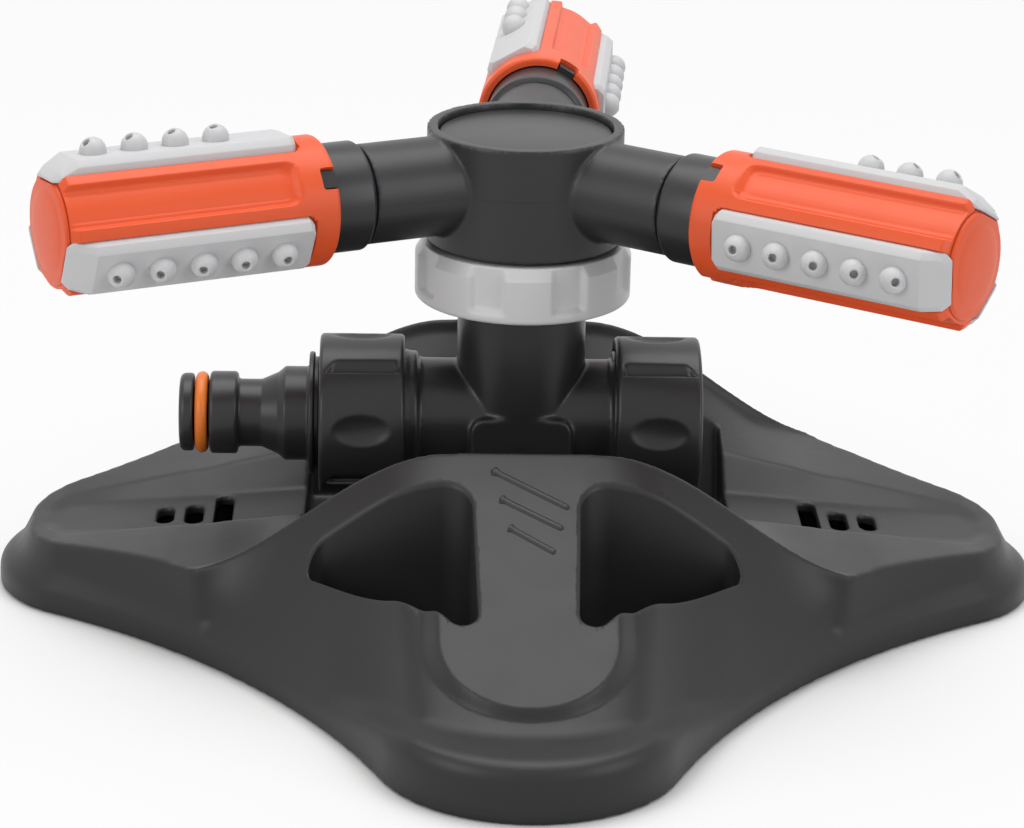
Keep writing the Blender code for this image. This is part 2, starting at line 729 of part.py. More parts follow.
def make_tee():
    """Hose tube with two threaded stubs, a riser that ends in a cup, and a lower boss."""
    flange_x = -INLET_SHOULDER_X + FLANGE_WIDTH
    profile = [
        (0.0, CAP_END_X),
        (THREAD_R, CAP_END_X),
        (THREAD_R, CAP_SHOULDER_X),
        (TUBE_R, CAP_SHOULDER_X),
        (TUBE_R, flange_x),
        (FLANGE_R, flange_x),
        (FLANGE_R, -INLET_SHOULDER_X),
        (THREAD_R, -INLET_SHOULDER_X),
        (THREAD_R, -INLET_END_X),
        (0.0, -INLET_END_X),
    ]
    tee = add_object("tee_body", along_x(turned_mesh("tee_tube", profile)), PARTS)
    tee.data.transform(Matrix.Translation((0.0, 0.0, HOSE_AXIS_Z)))
    cup_top = LOCK_RING_SEAT_Z - CLEARANCE
    riser_foot = HOSE_AXIS_Z - RISER_FOOT_DROP
    riser = [
        (0.0, cup_top),
        (CUP_R, cup_top),
        (CUP_R, CUP_FLOOR_Z - CUP_FLOOR_T),
        (RISER_R, CUP_FLOOR_Z - CUP_FLOOR_T),
        (RISER_R, riser_foot),
        (0.0, riser_foot),
    ]
    join(tee, turned_mesh("riser", riser))
    half = BOSS_SIDE / 2.0
    low = (-half, -BOSS_HALF_Y, PEDESTAL_TOP_Z + CLEARANCE)
    boss = box_mesh("boss", low, (half, BOSS_HALF_Y, HOSE_AXIS_Z + BOSS_RISE))
    join(tee, boss)
    bore = along_x(rod_mesh("hose_bore", HOSE_BORE_R, -INLET_END_X * OVERSHOOT, CAP_END_X * OVERSHOOT))
    cut(tee, moved(bore, Matrix.Translation((0.0, 0.0, HOSE_AXIS_Z))))
    bore_foot = HOSE_AXIS_Z + RISER_BORE_LIFT
    stepped = [
        (0.0, cup_top * OVERSHOOT),
        (CUP_BORE_R, cup_top * OVERSHOOT),
        (CUP_BORE_R, CUP_FLOOR_Z),
        (RISER_BORE_R, CUP_FLOOR_Z),
        (RISER_BORE_R, bore_foot),
        (0.0, bore_foot),
    ]
    cut(tee, turned_mesh("riser_bore", stepped))
    for side in (1, -1):
        pilot_end = SCREW_SEAT_Z + SCREW_LENGTH + CLEARANCE
        hole = rod_mesh("pilot_hole", SCREW_SHANK_R + CLEARANCE, 0.0, pilot_end, HOLE_STEPS)
        cut(tee, moved(hole, Matrix.Translation((side * SCREW_SPREAD, 0.0, 0.0))))
    settled(tee)
    finish(tee, "satin_plastic")


def nut_profile(length, hole_r, face_t):
    """Half section of a nut whose mouth is at height 0 and whose back lies at its length."""
    cavity = THREAD_R + CLEARANCE
    inner = length - face_t
    profile = [
        (NUT_R - NUT_ROUND, length),
        (NUT_R, length - NUT_ROUND),
        (NUT_R, NUT_ROUND),
        (NUT_R - NUT_ROUND, 0.0),
        (cavity, 0.0),
        (cavity, inner),
    ]
    if hole_r > 0.0:
        return profile + [(hole_r, inner), (hole_r, length)]
    return [(0.0, length)] + profile + [(0.0, inner)]


def make_nut(name, axis_empty, ends, side, hole_r, face_t):
    """A four-lobed nut with grooves between the lobes and an oval dimple on each."""
    mouth_x, length = ends[0], ends[1] - ends[0]
    mesh = turned_mesh(name, nut_profile(length, hole_r, face_t))
    turn = Matrix.Rotation(math.radians(90.0 * side), 4, "Y")
    nut = add_object(name, moved(mesh, turn), PARTS)
    for i in range(NUT_LOBES):
        angle = NUT_GROOVE_TURN + 360.0 / NUT_LOBES * i
        half = NUT_GROOVE_WIDTH / 2.0
        low = (NUT_RIM * side, -half, NUT_R - NUT_GROOVE_DEPTH)
        high = ((length - NUT_RIM) * side, half, NUT_R * OVERSHOOT)
        corners = [tuple(sorted(pair)) for pair in zip(low, high)]
        groove = box_mesh("nut_groove", *zip(*corners))
        cut(nut, moved(groove, Matrix.Rotation(math.radians(90.0 - angle), 4, "X")))
        bm = bmesh.new()
        bmesh.ops.create_uvsphere(bm, u_segments=DIMPLE_STEPS[0], v_segments=DIMPLE_STEPS[1], radius=1.0)
        scale = (NUT_DIMPLE_LENGTH / 2.0, NUT_DIMPLE_WIDTH / 2.0, NUT_DIMPLE_DEPTH)
        bmesh.ops.scale(bm, vec=scale, verts=bm.verts)
        bmesh.ops.translate(bm, vec=(length / 2.0 * side, 0.0, NUT_R), verts=bm.verts)
        dimple = mesh_from("nut_dimple", bm)
        middle = angle + 180.0 / NUT_LOBES
        cut(nut, moved(dimple, Matrix.Rotation(math.radians(90.0 - middle), 4, "X")))
    settled(nut)
    finish(nut, "satin_plastic", axis_empty)
    nut.location = (mouth_x * side, 0.0, 0.0)


def washer_profile(outer, inner, thickness):
    return [(outer, thickness), (outer, 0.0), (inner, 0.0), (inner, thickness)]


def make_adaptor(axis_empty):
    """Quick-connect nipple, its shoulder disc, and the flange that the union nut holds."""
    x = -ADAPTOR_TIP_X
    groove_start = x + ADAPTOR_TIP_LEN
    groove_end = groove_start + ADAPTOR_GROOVE_LEN
    neck_start = groove_end + ADAPTOR_SHOULDER_LEN
    neck_end = neck_start + ADAPTOR_NECK_LEN
    flare_end = neck_end + ADAPTOR_FLARE_LEN
    disc_end = -NUT_BACK_X - NUT_GAP
    disc_start = disc_end - ADAPTOR_DISC_T
    flange_end = -ADAPTOR_FLANGE_X
    flange_start = flange_end - ADAPTOR_FLANGE_T
    knee_x = neck_end + ADAPTOR_FLARE_LEN * ADAPTOR_FLARE_KNEE[0]
    knee_r = ADAPTOR_NECK_R + (ADAPTOR_BODY_R - ADAPTOR_NECK_R) * ADAPTOR_FLARE_KNEE[1]
    profile = [
        (ADAPTOR_BORE_R, x),
        (ADAPTOR_BORE_R, flange_end),
        (ADAPTOR_FLANGE_R, flange_end),
        (ADAPTOR_FLANGE_R, flange_start),
        (ADAPTOR_BARREL_R, flange_start),
        (ADAPTOR_BARREL_R, disc_end),
        (ADAPTOR_DISC_R, disc_end),
        (ADAPTOR_DISC_R, disc_start),
        (ADAPTOR_BODY_R, disc_start),
        (ADAPTOR_BODY_R, flare_end),
        (knee_r, knee_x),
        (ADAPTOR_NECK_R, neck_end),
        (ADAPTOR_NECK_R, neck_start),
        (ADAPTOR_SHOULDER_R, neck_start),
        (ADAPTOR_SHOULDER_R, groove_end),
        (ADAPTOR_GROOVE_R, groove_end),
        (ADAPTOR_GROOVE_R, groove_start),
        (ADAPTOR_TIP_R, groove_start),
        (ADAPTOR_TIP_R, x + ADAPTOR_TIP_ROUND),
        (ADAPTOR_TIP_R - ADAPTOR_TIP_ROUND, x),
    ]
    mesh = along_x(turned_mesh("hose_adaptor", profile, SMALL_STEPS))
    finish(add_object("hose_adaptor", mesh, PARTS), "satin_plastic", axis_empty)
    middle = (groove_start + groove_end) / 2.0
    ring = along_x(ring_mesh("adaptor_o_ring", ADAPTOR_RING_R - ADAPTOR_RING_WIRE_R, ADAPTOR_RING_WIRE_R))
    ring.transform(Matrix.Translation((middle, 0.0, 0.0)))
    finish(add_object("adaptor_o_ring", ring, PARTS), "orange_rubber", axis_empty)


def make_hose_fittings():
    """Everything that is carried on the hose axis beside the tee."""
    inlet = bpy.data.objects.new("inlet_axis", None)
    cap_axis = bpy.data.objects.new("cap_axis", None)
    for empty in (inlet, cap_axis):
        PARTS.objects.link(empty)
        empty.location = (0.0, 0.0, HOSE_AXIS_Z)
    make_adaptor(inlet)
    lip_hole = ADAPTOR_BARREL_R + CLEARANCE
    make_nut("inlet_nut", inlet, (NUT_MOUTH_X, NUT_BACK_X), -1, lip_hole, NUT_LIP_T)
    make_nut("end_cap", cap_axis, (CAP_MOUTH_X, CAP_BACK_X), 1, 0.0, CAP_FACE_T)
    profile = washer_profile(ADAPTOR_FLANGE_R, WASHER_BORE_R, WASHER_T)
    for name, empty, start in (
        ("inlet_washer", inlet, -INLET_WASHER_X - WASHER_T),
        ("cap_washer", cap_axis, CAP_WASHER_X),
    ):
        place = Matrix.Translation((start, 0.0, 0.0))
        mesh = moved(along_x(turned_mesh(name, profile, SMALL_STEPS)), place)
        finish(add_object(name, mesh, PARTS), "black_rubber", empty)


# Swivel and lock ring


def make_swivel(rotor_empty):
    """Lock ring, thrust washers and the hollow spindle that turns in the riser."""
    flange_low = SPINDLE_FLANGE_Z
    flange_high = SPINDLE_FLANGE_Z + SPINDLE_FLANGE_T
    flange_r = CUP_BORE_R - CLEARANCE
    top = HUB_FOOT_Z + HUB_FLOOR_T - CLEARANCE + SPINDLE_INSERT
    foot = CUP_FLOOR_Z - SPINDLE_DROP
    ring_z = CUP_FLOOR_Z - SPINDLE_RING_DROP
    ring_half = SPINDLE_RING_WIRE_R + CLEARANCE
    groove_r = SPINDLE_R - 2.0 * SPINDLE_RING_WIRE_R - CLEARANCE
    spindle = [
        (SPINDLE_NECK_R, top),
        (SPINDLE_NECK_R, flange_high),
        (flange_r, flange_high),
        (flange_r, flange_low),
        (SPINDLE_R, flange_low),
        (SPINDLE_R, ring_z + ring_half),
        (groove_r, ring_z + ring_half),
        (groove_r, ring_z - ring_half),
        (SPINDLE_R, ring_z - ring_half),
        (SPINDLE_R, foot),
        (SPINDLE_BORE_R, foot),
        (SPINDLE_BORE_R, top),
    ]
    mesh = turned_mesh("rotor_spindle", spindle, SMALL_STEPS)
    finish(add_object("rotor_spindle", mesh, PARTS), "satin_plastic", rotor_empty)
    ring = ring_mesh("spindle_o_ring", SPINDLE_R - SPINDLE_RING_WIRE_R, SPINDLE_RING_WIRE_R)
    ring.transform(Matrix.Translation((0.0, 0.0, ring_z)))
    finish(add_object("spindle_o_ring", ring, PARTS), "black_rubber", rotor_empty)
    for name, height, inner in (
        ("lower_thrust_washer", LOWER_WASHER_Z, SPINDLE_R + CLEARANCE),
        ("upper_thrust_washer", UPPER_WASHER_Z, SPINDLE_NECK_R + CLEARANCE),
    ):
        mesh = turned_mesh(name, washer_profile(flange_r, inner, THRUST_WASHER_T), SMALL_STEPS)
        mesh.transform(Matrix.Translation((0.0, 0.0, height)))
        finish(add_object(name, mesh, PARTS), "black_rubber")


def make_lock_ring():
    """A screwed ring with notches round its rim, whose lip keeps the spindle down."""
    bore = CUP_R + CLEARANCE
    lip = SPINDLE_NECK_R + 2.0 * CLEARANCE
    profile = [
        (LOCK_RING_R - LOCK_RING_CHAMFER, LOCK_RING_TOP_Z),
        (LOCK_RING_R, LOCK_RING_TOP_Z - LOCK_RING_CHAMFER),
        (LOCK_RING_R, LOCK_RING_FOOT_Z + LOCK_RING_CHAMFER * 0.5),
        (LOCK_RING_R - LOCK_RING_CHAMFER * 0.5, LOCK_RING_FOOT_Z),
        (bore, LOCK_RING_FOOT_Z),
        (bore, LOCK_RING_SEAT_Z),
        (lip, LOCK_RING_SEAT_Z),
        (lip, LOCK_RING_TOP_Z),
    ]
    ring = add_object("lock_ring", turned_mesh("lock_ring", profile, HUB_STEPS), PARTS)
    half = LOCK_NOTCH_WIDTH / 2.0
    for i in range(LOCK_NOTCH_COUNT):
        low = (LOCK_RING_R - LOCK_NOTCH_DEPTH, -half, LOCK_RING_FOOT_Z + LOCK_NOTCH_SILL)
        high = (LOCK_RING_R * OVERSHOOT, half, LOCK_RING_TOP_Z * OVERSHOOT)
        notch = box_mesh("lock_notch", low, high)
        turn = LOCK_NOTCH_TURN + 360.0 / LOCK_NOTCH_COUNT * i
        cut(ring, moved(notch, Matrix.Rotation(math.radians(turn), 4, "Z")))
    settled(ring)
    finish(ring, "light_plastic")


# Rotor


def arm_turn(index):
    return Matrix.Rotation(math.radians(ARM_AZIMUTH + 360.0 / ARM_COUNT * index), 4, "Z")


def arm_profile():
    """A hollow arm tube about Z, from inside the hub's wall to the end of its spigot."""
    ring_half = SPIGOT_RING_WIRE_R + CLEARANCE
    groove_r = SPIGOT_R - 2.0 * SPIGOT_RING_WIRE_R - CLEARANCE
    root = math.sqrt(HUB_R**2 - ARM_TUBE_R**2) - CLEARANCE
    return [
        (SPIGOT_R, SPIGOT_END),
        (SPIGOT_R, SNAP_GROOVE_S + SNAP_GROOVE_LEN),
        (SNAP_GROOVE_R, SNAP_GROOVE_S + SNAP_GROOVE_LEN),
        (SNAP_GROOVE_R, SNAP_GROOVE_S),
        (SPIGOT_R, SNAP_GROOVE_S),
        (SPIGOT_R, SPIGOT_RING_S + ring_half),
        (groove_r, SPIGOT_RING_S + ring_half),
        (groove_r, SPIGOT_RING_S - ring_half),
        (SPIGOT_R, SPIGOT_RING_S - ring_half),
        (SPIGOT_R, ARM_TUBE_END),
        (ARM_TUBE_R, ARM_TUBE_END),
        (ARM_TUBE_R, root),
        (ARM_BORE_R, root),
        (ARM_BORE_R, SPIGOT_END),
    ]


def make_rotor(rotor_empty):
    """Hub drum with three arm tubes, moulded in one, and the cover let into its top."""
    recess_z = HUB_TOP_Z - HUB_RECESS_DEPTH - HUB_COVER_T - CLEARANCE
    drum = [
        (0.0, HUB_TOP_Z),
        (HUB_R - HUB_ROUND, HUB_TOP_Z),
        (HUB_R, HUB_TOP_Z - HUB_ROUND),
        (HUB_R, HUB_FOOT_Z),
        (0.0, HUB_FOOT_Z),
    ]
    rotor = add_object("rotor_body", turned_mesh("rotor_body", drum, HUB_STEPS), PARTS)
    lift = Matrix.Translation((0.0, 0.0, ARM_AXIS_Z))
    for i in range(ARM_COUNT):
        join(rotor, moved(along_x(turned_mesh("arm_tube", arm_profile(), SMALL_STEPS)), lift @ arm_turn(i)))
    recess_r = HUB_COVER_R + CLEARANCE
    chamber_z = HUB_FOOT_Z + HUB_FLOOR_T
    socket_r = SPINDLE_NECK_R + CLEARANCE
    hollow = [
        (0.0, HUB_TOP_Z * OVERSHOOT),
        (recess_r, HUB_TOP_Z * OVERSHOOT),
        (recess_r, recess_z),
        (HUB_CHAMBER_R, recess_z),
        (HUB_CHAMBER_R, chamber_z),
        (socket_r, chamber_z),
        (socket_r, HUB_FOOT_Z / OVERSHOOT),
        (0.0, HUB_FOOT_Z / OVERSHOOT),
    ]
    cut(rotor, turned_mesh("hub_hollow", hollow, HUB_STEPS))
    for i in range(ARM_COUNT):
        port_r = ARM_BORE_R + CLEARANCE
        port = rod_mesh("arm_port", port_r, HUB_CHAMBER_R / 2.0, HUB_COVER_R, HOLE_STEPS)
        cut(rotor, moved(along_x(port), lift @ arm_turn(i)))
    settled(rotor)
    finish(rotor, "satin_plastic", rotor_empty)
    cover_low = recess_z + CLEARANCE
    cover = rod_mesh("hub_cover", HUB_COVER_R, cover_low, cover_low + HUB_COVER_T, HUB_STEPS)
    finish(add_object("hub_cover", cover, PARTS), "satin_plastic", rotor_empty)


# Nozzle heads, modelled along +X with their first strip on +Z, then turned on their arm


def round_head(angle):
    return Matrix.Rotation(math.radians(angle), 4, "X")


def shell_profile():
    """Cross-section of the orange shell: three webs, each with a groove, between strip seats."""
    wide = STRIP_HALF_WIDTH + CLEARANCE
    edge = math.degrees(math.asin(wide / RING_R))
    points = []
    middle = STRIP_PITCH / 2.0
    start, end = middle - GROOVE_HALF_ANGLE, middle + GROOVE_HALF_ANGLE
    angles = [
        (edge, RING_R),
        ((edge + start) / 2.0, RING_R),
        (start - GROOVE_SLOPE_ANGLE, RING_R),
        (start + GROOVE_SLOPE_ANGLE, GROOVE_R),
        (middle, GROOVE_R),
        (end - GROOVE_SLOPE_ANGLE, GROOVE_R),
        (end + GROOVE_SLOPE_ANGLE, RING_R),
        ((STRIP_PITCH - edge + end) / 2.0, RING_R),
        (STRIP_PITCH - edge, RING_R),
    ]
    for k in range(STRIP_COUNT):
        turn = STRIP_PITCH * k
        for x, y in ((-wide, STRIP_SEAT), (wide, STRIP_SEAT)):
            angle = math.atan2(x, y) + math.radians(turn)
            radius = math.hypot(x, y)
            points.append((radius * math.sin(angle), radius * math.cos(angle)))
        for degrees, radius in angles:
            angle = math.radians(degrees + turn)
            points.append((radius * math.sin(angle), radius * math.cos(angle)))
    return points


def strip_mesh(count):
    """A nozzle strip on +Z: a bevelled bar with a sloping outer end and drilled domes on its outer places."""
    low = STRIP_SEAT + CLEARANCE
    high = low + STRIP_HEIGHT

    def section(s, top, narrow):
        wide = STRIP_HALF_WIDTH - narrow
        top_wide = STRIP_TOP_HALF_WIDTH - narrow
        shoulder = max((low + top) / 2.0, top - STRIP_BEVEL)
        right = [(s, wide, low), (s, wide, shoulder), (s, top_wide, top)]
        return right + [(s, -y, z) for s, y, z in right[::-1]]

    sections = [
        section(STRIP_START, high - STRIP_START_DROP, STRIP_BEVEL),
        section(STRIP_START + STRIP_BEVEL, high, 0.0),
        section(STRIP_END - STRIP_SLOPE_LEN, high, 0.0),
        section(STRIP_END - STRIP_TOE_LEN, low + STRIP_TOE_H, 0.0),
        section(STRIP_END, low + STRIP_TIP_H, STRIP_BEVEL),
    ]
    strip = add_object("strip", lofted_mesh("strip", sections), CUTTERS)
    numbers = range(NOZZLE_PLACES - count, NOZZLE_PLACES)
    places = [STRIP_START + NOZZLE_FIRST + NOZZLE_PITCH * i for i in numbers]
    for s in places:
        bm = bmesh.new()
        bmesh.ops.create_uvsphere(bm, u_segments=NOZZLE_STEPS[0], v_segments=NOZZLE_STEPS[1], radius=NOZZLE_R)
        bmesh.ops.translate(bm, vec=(s, 0.0, high - NOZZLE_SINK), verts=bm.verts)
        join(strip, mesh_from("nozzle_dome", bm))
    hole_end = high + NOZZLE_R * OVERSHOOT
    for s in places:
        hole = rod_mesh("nozzle_hole", NOZZLE_HOLE_R, low / 2.0, hole_end, NOZZLE_HOLE_STEPS)
        cut(strip, moved(hole, Matrix.Translation((s, 0.0, 0.0))))
    settled(strip)
    mesh = strip.data
    bpy.data.objects.remove(strip, do_unlink=True)
    return mesh


def shell_mesh():
    """Orange shell of a head: notched ring at its inner end and the grooved body."""
    body = prism_mesh("shell_body", shell_profile(), RING_END, SHELL_END)
    to_arm = Matrix(((0, 0, 1, 0), (-1, 0, 0, 0), (0, 1, 0, 0), (0, 0, 0, 1)))
    shell = add_object("shell", moved(body, to_arm), CUTTERS)
    ring = [
        (SHELL_NECK_R, RING_END + CLEARANCE),
        (RING_R, RING_END),
        (RING_R, RING_START + CLEARANCE * 2.0),
        (RING_R - CLEARANCE * 2.0, RING_START),
        (0.0, RING_START),
    ]
    join(shell, along_x(turned_mesh("shell_ring", [(0.0, RING_END + CLEARANCE)] + ring)))
    mouth_r = COLLAR_R + CLEARANCE
    cut(shell, along_x(rod_mesh("collar_bore", mouth_r, 0.0, COLLAR_END + CLEARANCE)))
    cut(shell, along_x(rod_mesh("water_bore", SHELL_BORE_R, 0.0, SHELL_END * OVERSHOOT)))
    ends = GROOVE_LEN / 2.0
    groove_middle = SHELL_END - ends
    half = NOTCH_WIDTH / 2.0
    for k in range(STRIP_COUNT):
        high = (RING_START + NOTCH_LEN, half, RING_R * OVERSHOOT)
        notch = box_mesh("bayonet_notch", (0.0, -half, 0.0), high)
        cut(shell, moved(notch, round_head(STRIP_PITCH * (k + 0.5))))
        slot_half = WATER_SLOT_LEN / 2.0
        low = (groove_middle - slot_half, -WATER_SLOT_WIDTH / 2.0, 0.0)
        slot = box_mesh("water_slot", low, (groove_middle + slot_half, WATER_SLOT_WIDTH / 2.0, RING_R))
        cut(shell, moved(slot, round_head(STRIP_PITCH * k)))
    settled(shell)
    mesh = shell.data
    bpy.data.objects.remove(shell, do_unlink=True)
    return mesh


def collar_mesh():
    """Black swivel collar: snaps over the spigot and carries the shell on three lugs."""
    bore = SPIGOT_R + CLEARANCE
    lip_r = SNAP_GROOVE_R + CLEARANCE
    lip_start = SNAP_GROOVE_S + CLEARANCE
    lip_end = SNAP_GROOVE_S + SNAP_GROOVE_LEN - CLEARANCE
    profile = [
        (COLLAR_R, COLLAR_END),
        (COLLAR_R, COLLAR_START + COLLAR_CHAMFER),
        (COLLAR_R - COLLAR_CHAMFER, COLLAR_START),
        (bore, COLLAR_START),
        (bore, lip_start),
        (lip_r, lip_start),
        (lip_r, lip_end),
        (bore, lip_end),
        (bore, COLLAR_END),
    ]
    collar = add_object("collar", along_x(turned_mesh("collar", profile, SMALL_STEPS)), CUTTERS)
    half = LUG_WIDTH / 2.0
    lug_end = RING_START + NOTCH_LEN - CLEARANCE
    for k in range(STRIP_COUNT):
        lug = box_mesh("lug", (RING_START, -half, bore + CLEARANCE), (lug_end, half, LUG_R))
        join(collar, moved(lug, round_head(STRIP_PITCH * (k + 0.5))))
    settled(collar)
    mesh = collar.data
    bpy.data.objects.remove(collar, do_unlink=True)
    return mesh


def head_cap_mesh():
    """Domed orange cap whose plug closes the bore of the shell."""
    plug_r = SHELL_BORE_R - CLEARANCE
    seat = SHELL_END + CLEARANCE
    rise = HEAD_CAP_T - HEAD_CAP_EDGE_T
    dome = []
    for i in range(DOME_STEPS + 1):
        angle = math.pi / 2.0 * i / DOME_STEPS
        dome.append((HEAD_CAP_R * math.sin(angle), seat + HEAD_CAP_EDGE_T + rise * math.cos(angle)))
    profile = dome + [(HEAD_CAP_R, seat), (plug_r, seat), (plug_r, seat - HEAD_CAP_PLUG_LEN)]
    return along_x(turned_mesh("head_cap", profile + [(0.0, seat - HEAD_CAP_PLUG_LEN)], SMALL_STEPS))


def make_heads(rotor_empty):
    strips = [strip_mesh(count) for count in NOZZLE_COUNTS]
    shell, collar, cap = shell_mesh(), collar_mesh(), head_cap_mesh()
    ring = along_x(ring_mesh("core_o_ring", SPIGOT_R - SPIGOT_RING_WIRE_R, SPIGOT_RING_WIRE_R))
    ring.transform(Matrix.Translation((SPIGOT_RING_S, 0.0, 0.0)))
    for index, (side, turn) in enumerate(HEADS):
        arm = bpy.data.objects.new(side + "_arm_axis", None)
        head = bpy.data.objects.new(side + "_head_axis", None)
        for empty in (arm, head):
            PARTS.objects.link(empty)
        arm.parent = rotor_empty
        arm.matrix_local = Matrix.Translation((0.0, 0.0, ARM_AXIS_Z)) @ arm_turn(index)
        head.parent = arm
        head.matrix_local = round_head(90.0 - turn)
        pieces = (
            ("swivel_collar", collar, "satin_plastic", head),
            ("head_shell", shell, "orange_plastic", head),
            ("head_cap", cap, "orange_plastic", head),
            ("arm_o_ring", ring, "black_rubber", arm),
        )
        for name, mesh, finish_name, parent in pieces:
            finish(add_object(side + "_" + name, mesh.copy(), PARTS), finish_name, parent)
        for k, strip in enumerate(strips):
            obj = add_object(f"{side}_nozzle_strip_{k + 1}", strip.copy(), PARTS)
            finish(obj, "nozzle_plastic", head)
            obj.matrix_local = round_head(STRIP_PITCH * k)


def make_sprinkler():
    rotor_empty = bpy.data.objects.new("rotor_axis", None)
    PARTS.objects.link(rotor_empty)
    make_base()
    make_base_screws()
    make_tee()
    make_hose_fittings()
    make_swivel(rotor_empty)
    make_lock_ring()
    make_rotor(rotor_empty)
    make_heads(rotor_empty)


# Levels of the base skin that the outer block and its hollow use
SKIN_LEVELS = range(8)
HOLLOW_LEVELS = (0, 2, 3, 5, 6, 7)

remove_everything()
PARTS = new_collection("rotary_sprinkler")
CUTTERS = new_collection("cutters")
make_sprinkler()
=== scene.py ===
"""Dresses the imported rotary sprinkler: moulded plastics with rounded edges, nozzles, studio and camera.

All sizes are in metres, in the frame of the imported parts: X along the hose, -Y the front, +Z up.
"""

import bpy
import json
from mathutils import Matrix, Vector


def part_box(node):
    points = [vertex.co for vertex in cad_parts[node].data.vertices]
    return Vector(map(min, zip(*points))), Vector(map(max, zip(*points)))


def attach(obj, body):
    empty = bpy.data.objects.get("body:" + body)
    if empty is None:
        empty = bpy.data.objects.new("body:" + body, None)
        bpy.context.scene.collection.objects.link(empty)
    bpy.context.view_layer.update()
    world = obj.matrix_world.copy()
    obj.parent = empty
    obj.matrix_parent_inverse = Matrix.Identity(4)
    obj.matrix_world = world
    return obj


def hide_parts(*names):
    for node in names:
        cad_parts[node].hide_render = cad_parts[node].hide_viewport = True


bl_info = {
    "name": "Rotary sprinkler",
    "version": (1, 0, 0),
    "blender": (4, 5, 0),
    "location": "View3D > Sidebar > Sprinkler",
    "description": "Builds the visible pieces of a three-arm rotary sprinkler round its packed parts",
    "category": "Object",
}

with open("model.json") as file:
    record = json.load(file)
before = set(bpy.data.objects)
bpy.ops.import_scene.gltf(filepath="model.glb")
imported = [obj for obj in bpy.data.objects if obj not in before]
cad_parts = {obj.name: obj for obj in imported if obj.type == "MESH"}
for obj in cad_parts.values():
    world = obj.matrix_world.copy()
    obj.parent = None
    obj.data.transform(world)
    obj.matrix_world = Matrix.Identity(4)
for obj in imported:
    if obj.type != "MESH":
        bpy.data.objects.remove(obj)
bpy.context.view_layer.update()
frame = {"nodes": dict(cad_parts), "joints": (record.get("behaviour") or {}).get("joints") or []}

import json
import math

import bmesh
import bpy
import numpy as np
from bpy.props import FloatProperty, FloatVectorProperty, IntProperty, PointerProperty
from mathutils import Matrix, Vector
from mathutils.bvhtree import BVHTree

MM = 0.001
MERGE_GAP = 1.0e-6
CLEARANCE = 0.0003
CORNER_SHARE = 0.49
PARTING_HALF = 0.00012
# Stands a prism made about Z on its edge, so that its outline faces the front
FRONT_VIEW = Matrix(((1, 0, 0, 0), (0, 0, 1, 0), (0, 1, 0, 0), (0, 0, 0, 1)))

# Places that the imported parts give
JOINTS = {joint["name"]: joint for joint in frame["joints"]}
HOSE_AXIS_Z = JOINTS["inlet_nut_turn"]["pos_m"][2]
ARM_AXIS_Z = JOINTS["rotor_spin"]["pos_m"][2]
SIDES = ("rear", "left", "right")
ARMS = {side: Vector(JOINTS[side + "_head_turn"]["axis"]).normalized() for side in SIDES}
BASE_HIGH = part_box("base")[1]
NUT_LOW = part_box("inlet_nut")[0]
RING_LOW, RING_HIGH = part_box("lock_ring")
COVER_LOW, COVER_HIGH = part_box("hub_cover")
NIPPLE_LOW, NIPPLE_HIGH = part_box("hose_adaptor")

# Base plan and heights
SIDE_NOSE_R = 0.024
FRONT_NOSE_R = 0.029
WAIST_R = 0.160
BASE_WALL = 0.0024
RIDGE_Y = 0.041
RIDGE_MARGIN = 0.0032
RIDGE_LIP_DROP = 0.0022
RIDGE_LIP_WIDTH = 0.0014
RIDGE_LAND = 0.0006
NOSE_LAND = 0.0070
CREST_FLAT_HALF = 0.014
CREST_FOOT_HALF = 0.070
LOBE_TOP_Z = 0.0170
LOBE_TOP_FALL = 0.152
WELL_HALF_X = 0.0425
WELL_HALF_Y = 0.0220
WELL_TOP_Y = 0.0365
WELL_FLOOR_Z = 0.0090
WELL_WALL = 0.0020
CHANNEL_EDGE_HALF = 0.0190
CHANNEL_EDGE_Z = 0.0213
CHANNEL_EDGE_FALL = 0.165
CHANNEL_TAPER = 0.155
CHANNEL_FLOOR_Z = 0.0150
CHANNEL_FLOOR_FALL = 0.055
POCKET_CORNERS = ((0.0104, 0.0478, 0.0060), (0.0090, 0.0845, 0.0028), (0.0450, 0.0472, 0.0030))
POCKET_LIP = (0.0009, 0.0009)
POCKET_LIP_ARC = (0.0, 22.0, 45.0, 68.0, 90.0)
POCKET_LIP_TOP = 0.006
POCKET_WALL = 0.0020
POCKET_FOOT_Z = 0.0020
# Skirt height, its rounding, the shoulder's inset and height, and the rounding above it: each at a
# waist, at an end nose, and what a side lobe's tip adds
FLANKS = (
    (0.0048, 0.0108, 0.0004),
    (0.0018, 0.0036, 0.0040),
    (0.0024, 0.0118, 0.0012),
    (0.0078, 0.0119, -0.0003),
    (0.0060, 0.0090, 0.0),
)
NOSE_SPAN = (0.021, 0.040)
TIP_SPAN = (0.078, 0.098)
NOSE_SPREAD = 0.4
INSET_SHARE = 0.6
SHOULDER_GAP = 0.001
RUN_STEPS = 48
LOBE_SHARES = (0.8, 0.55, 0.3)
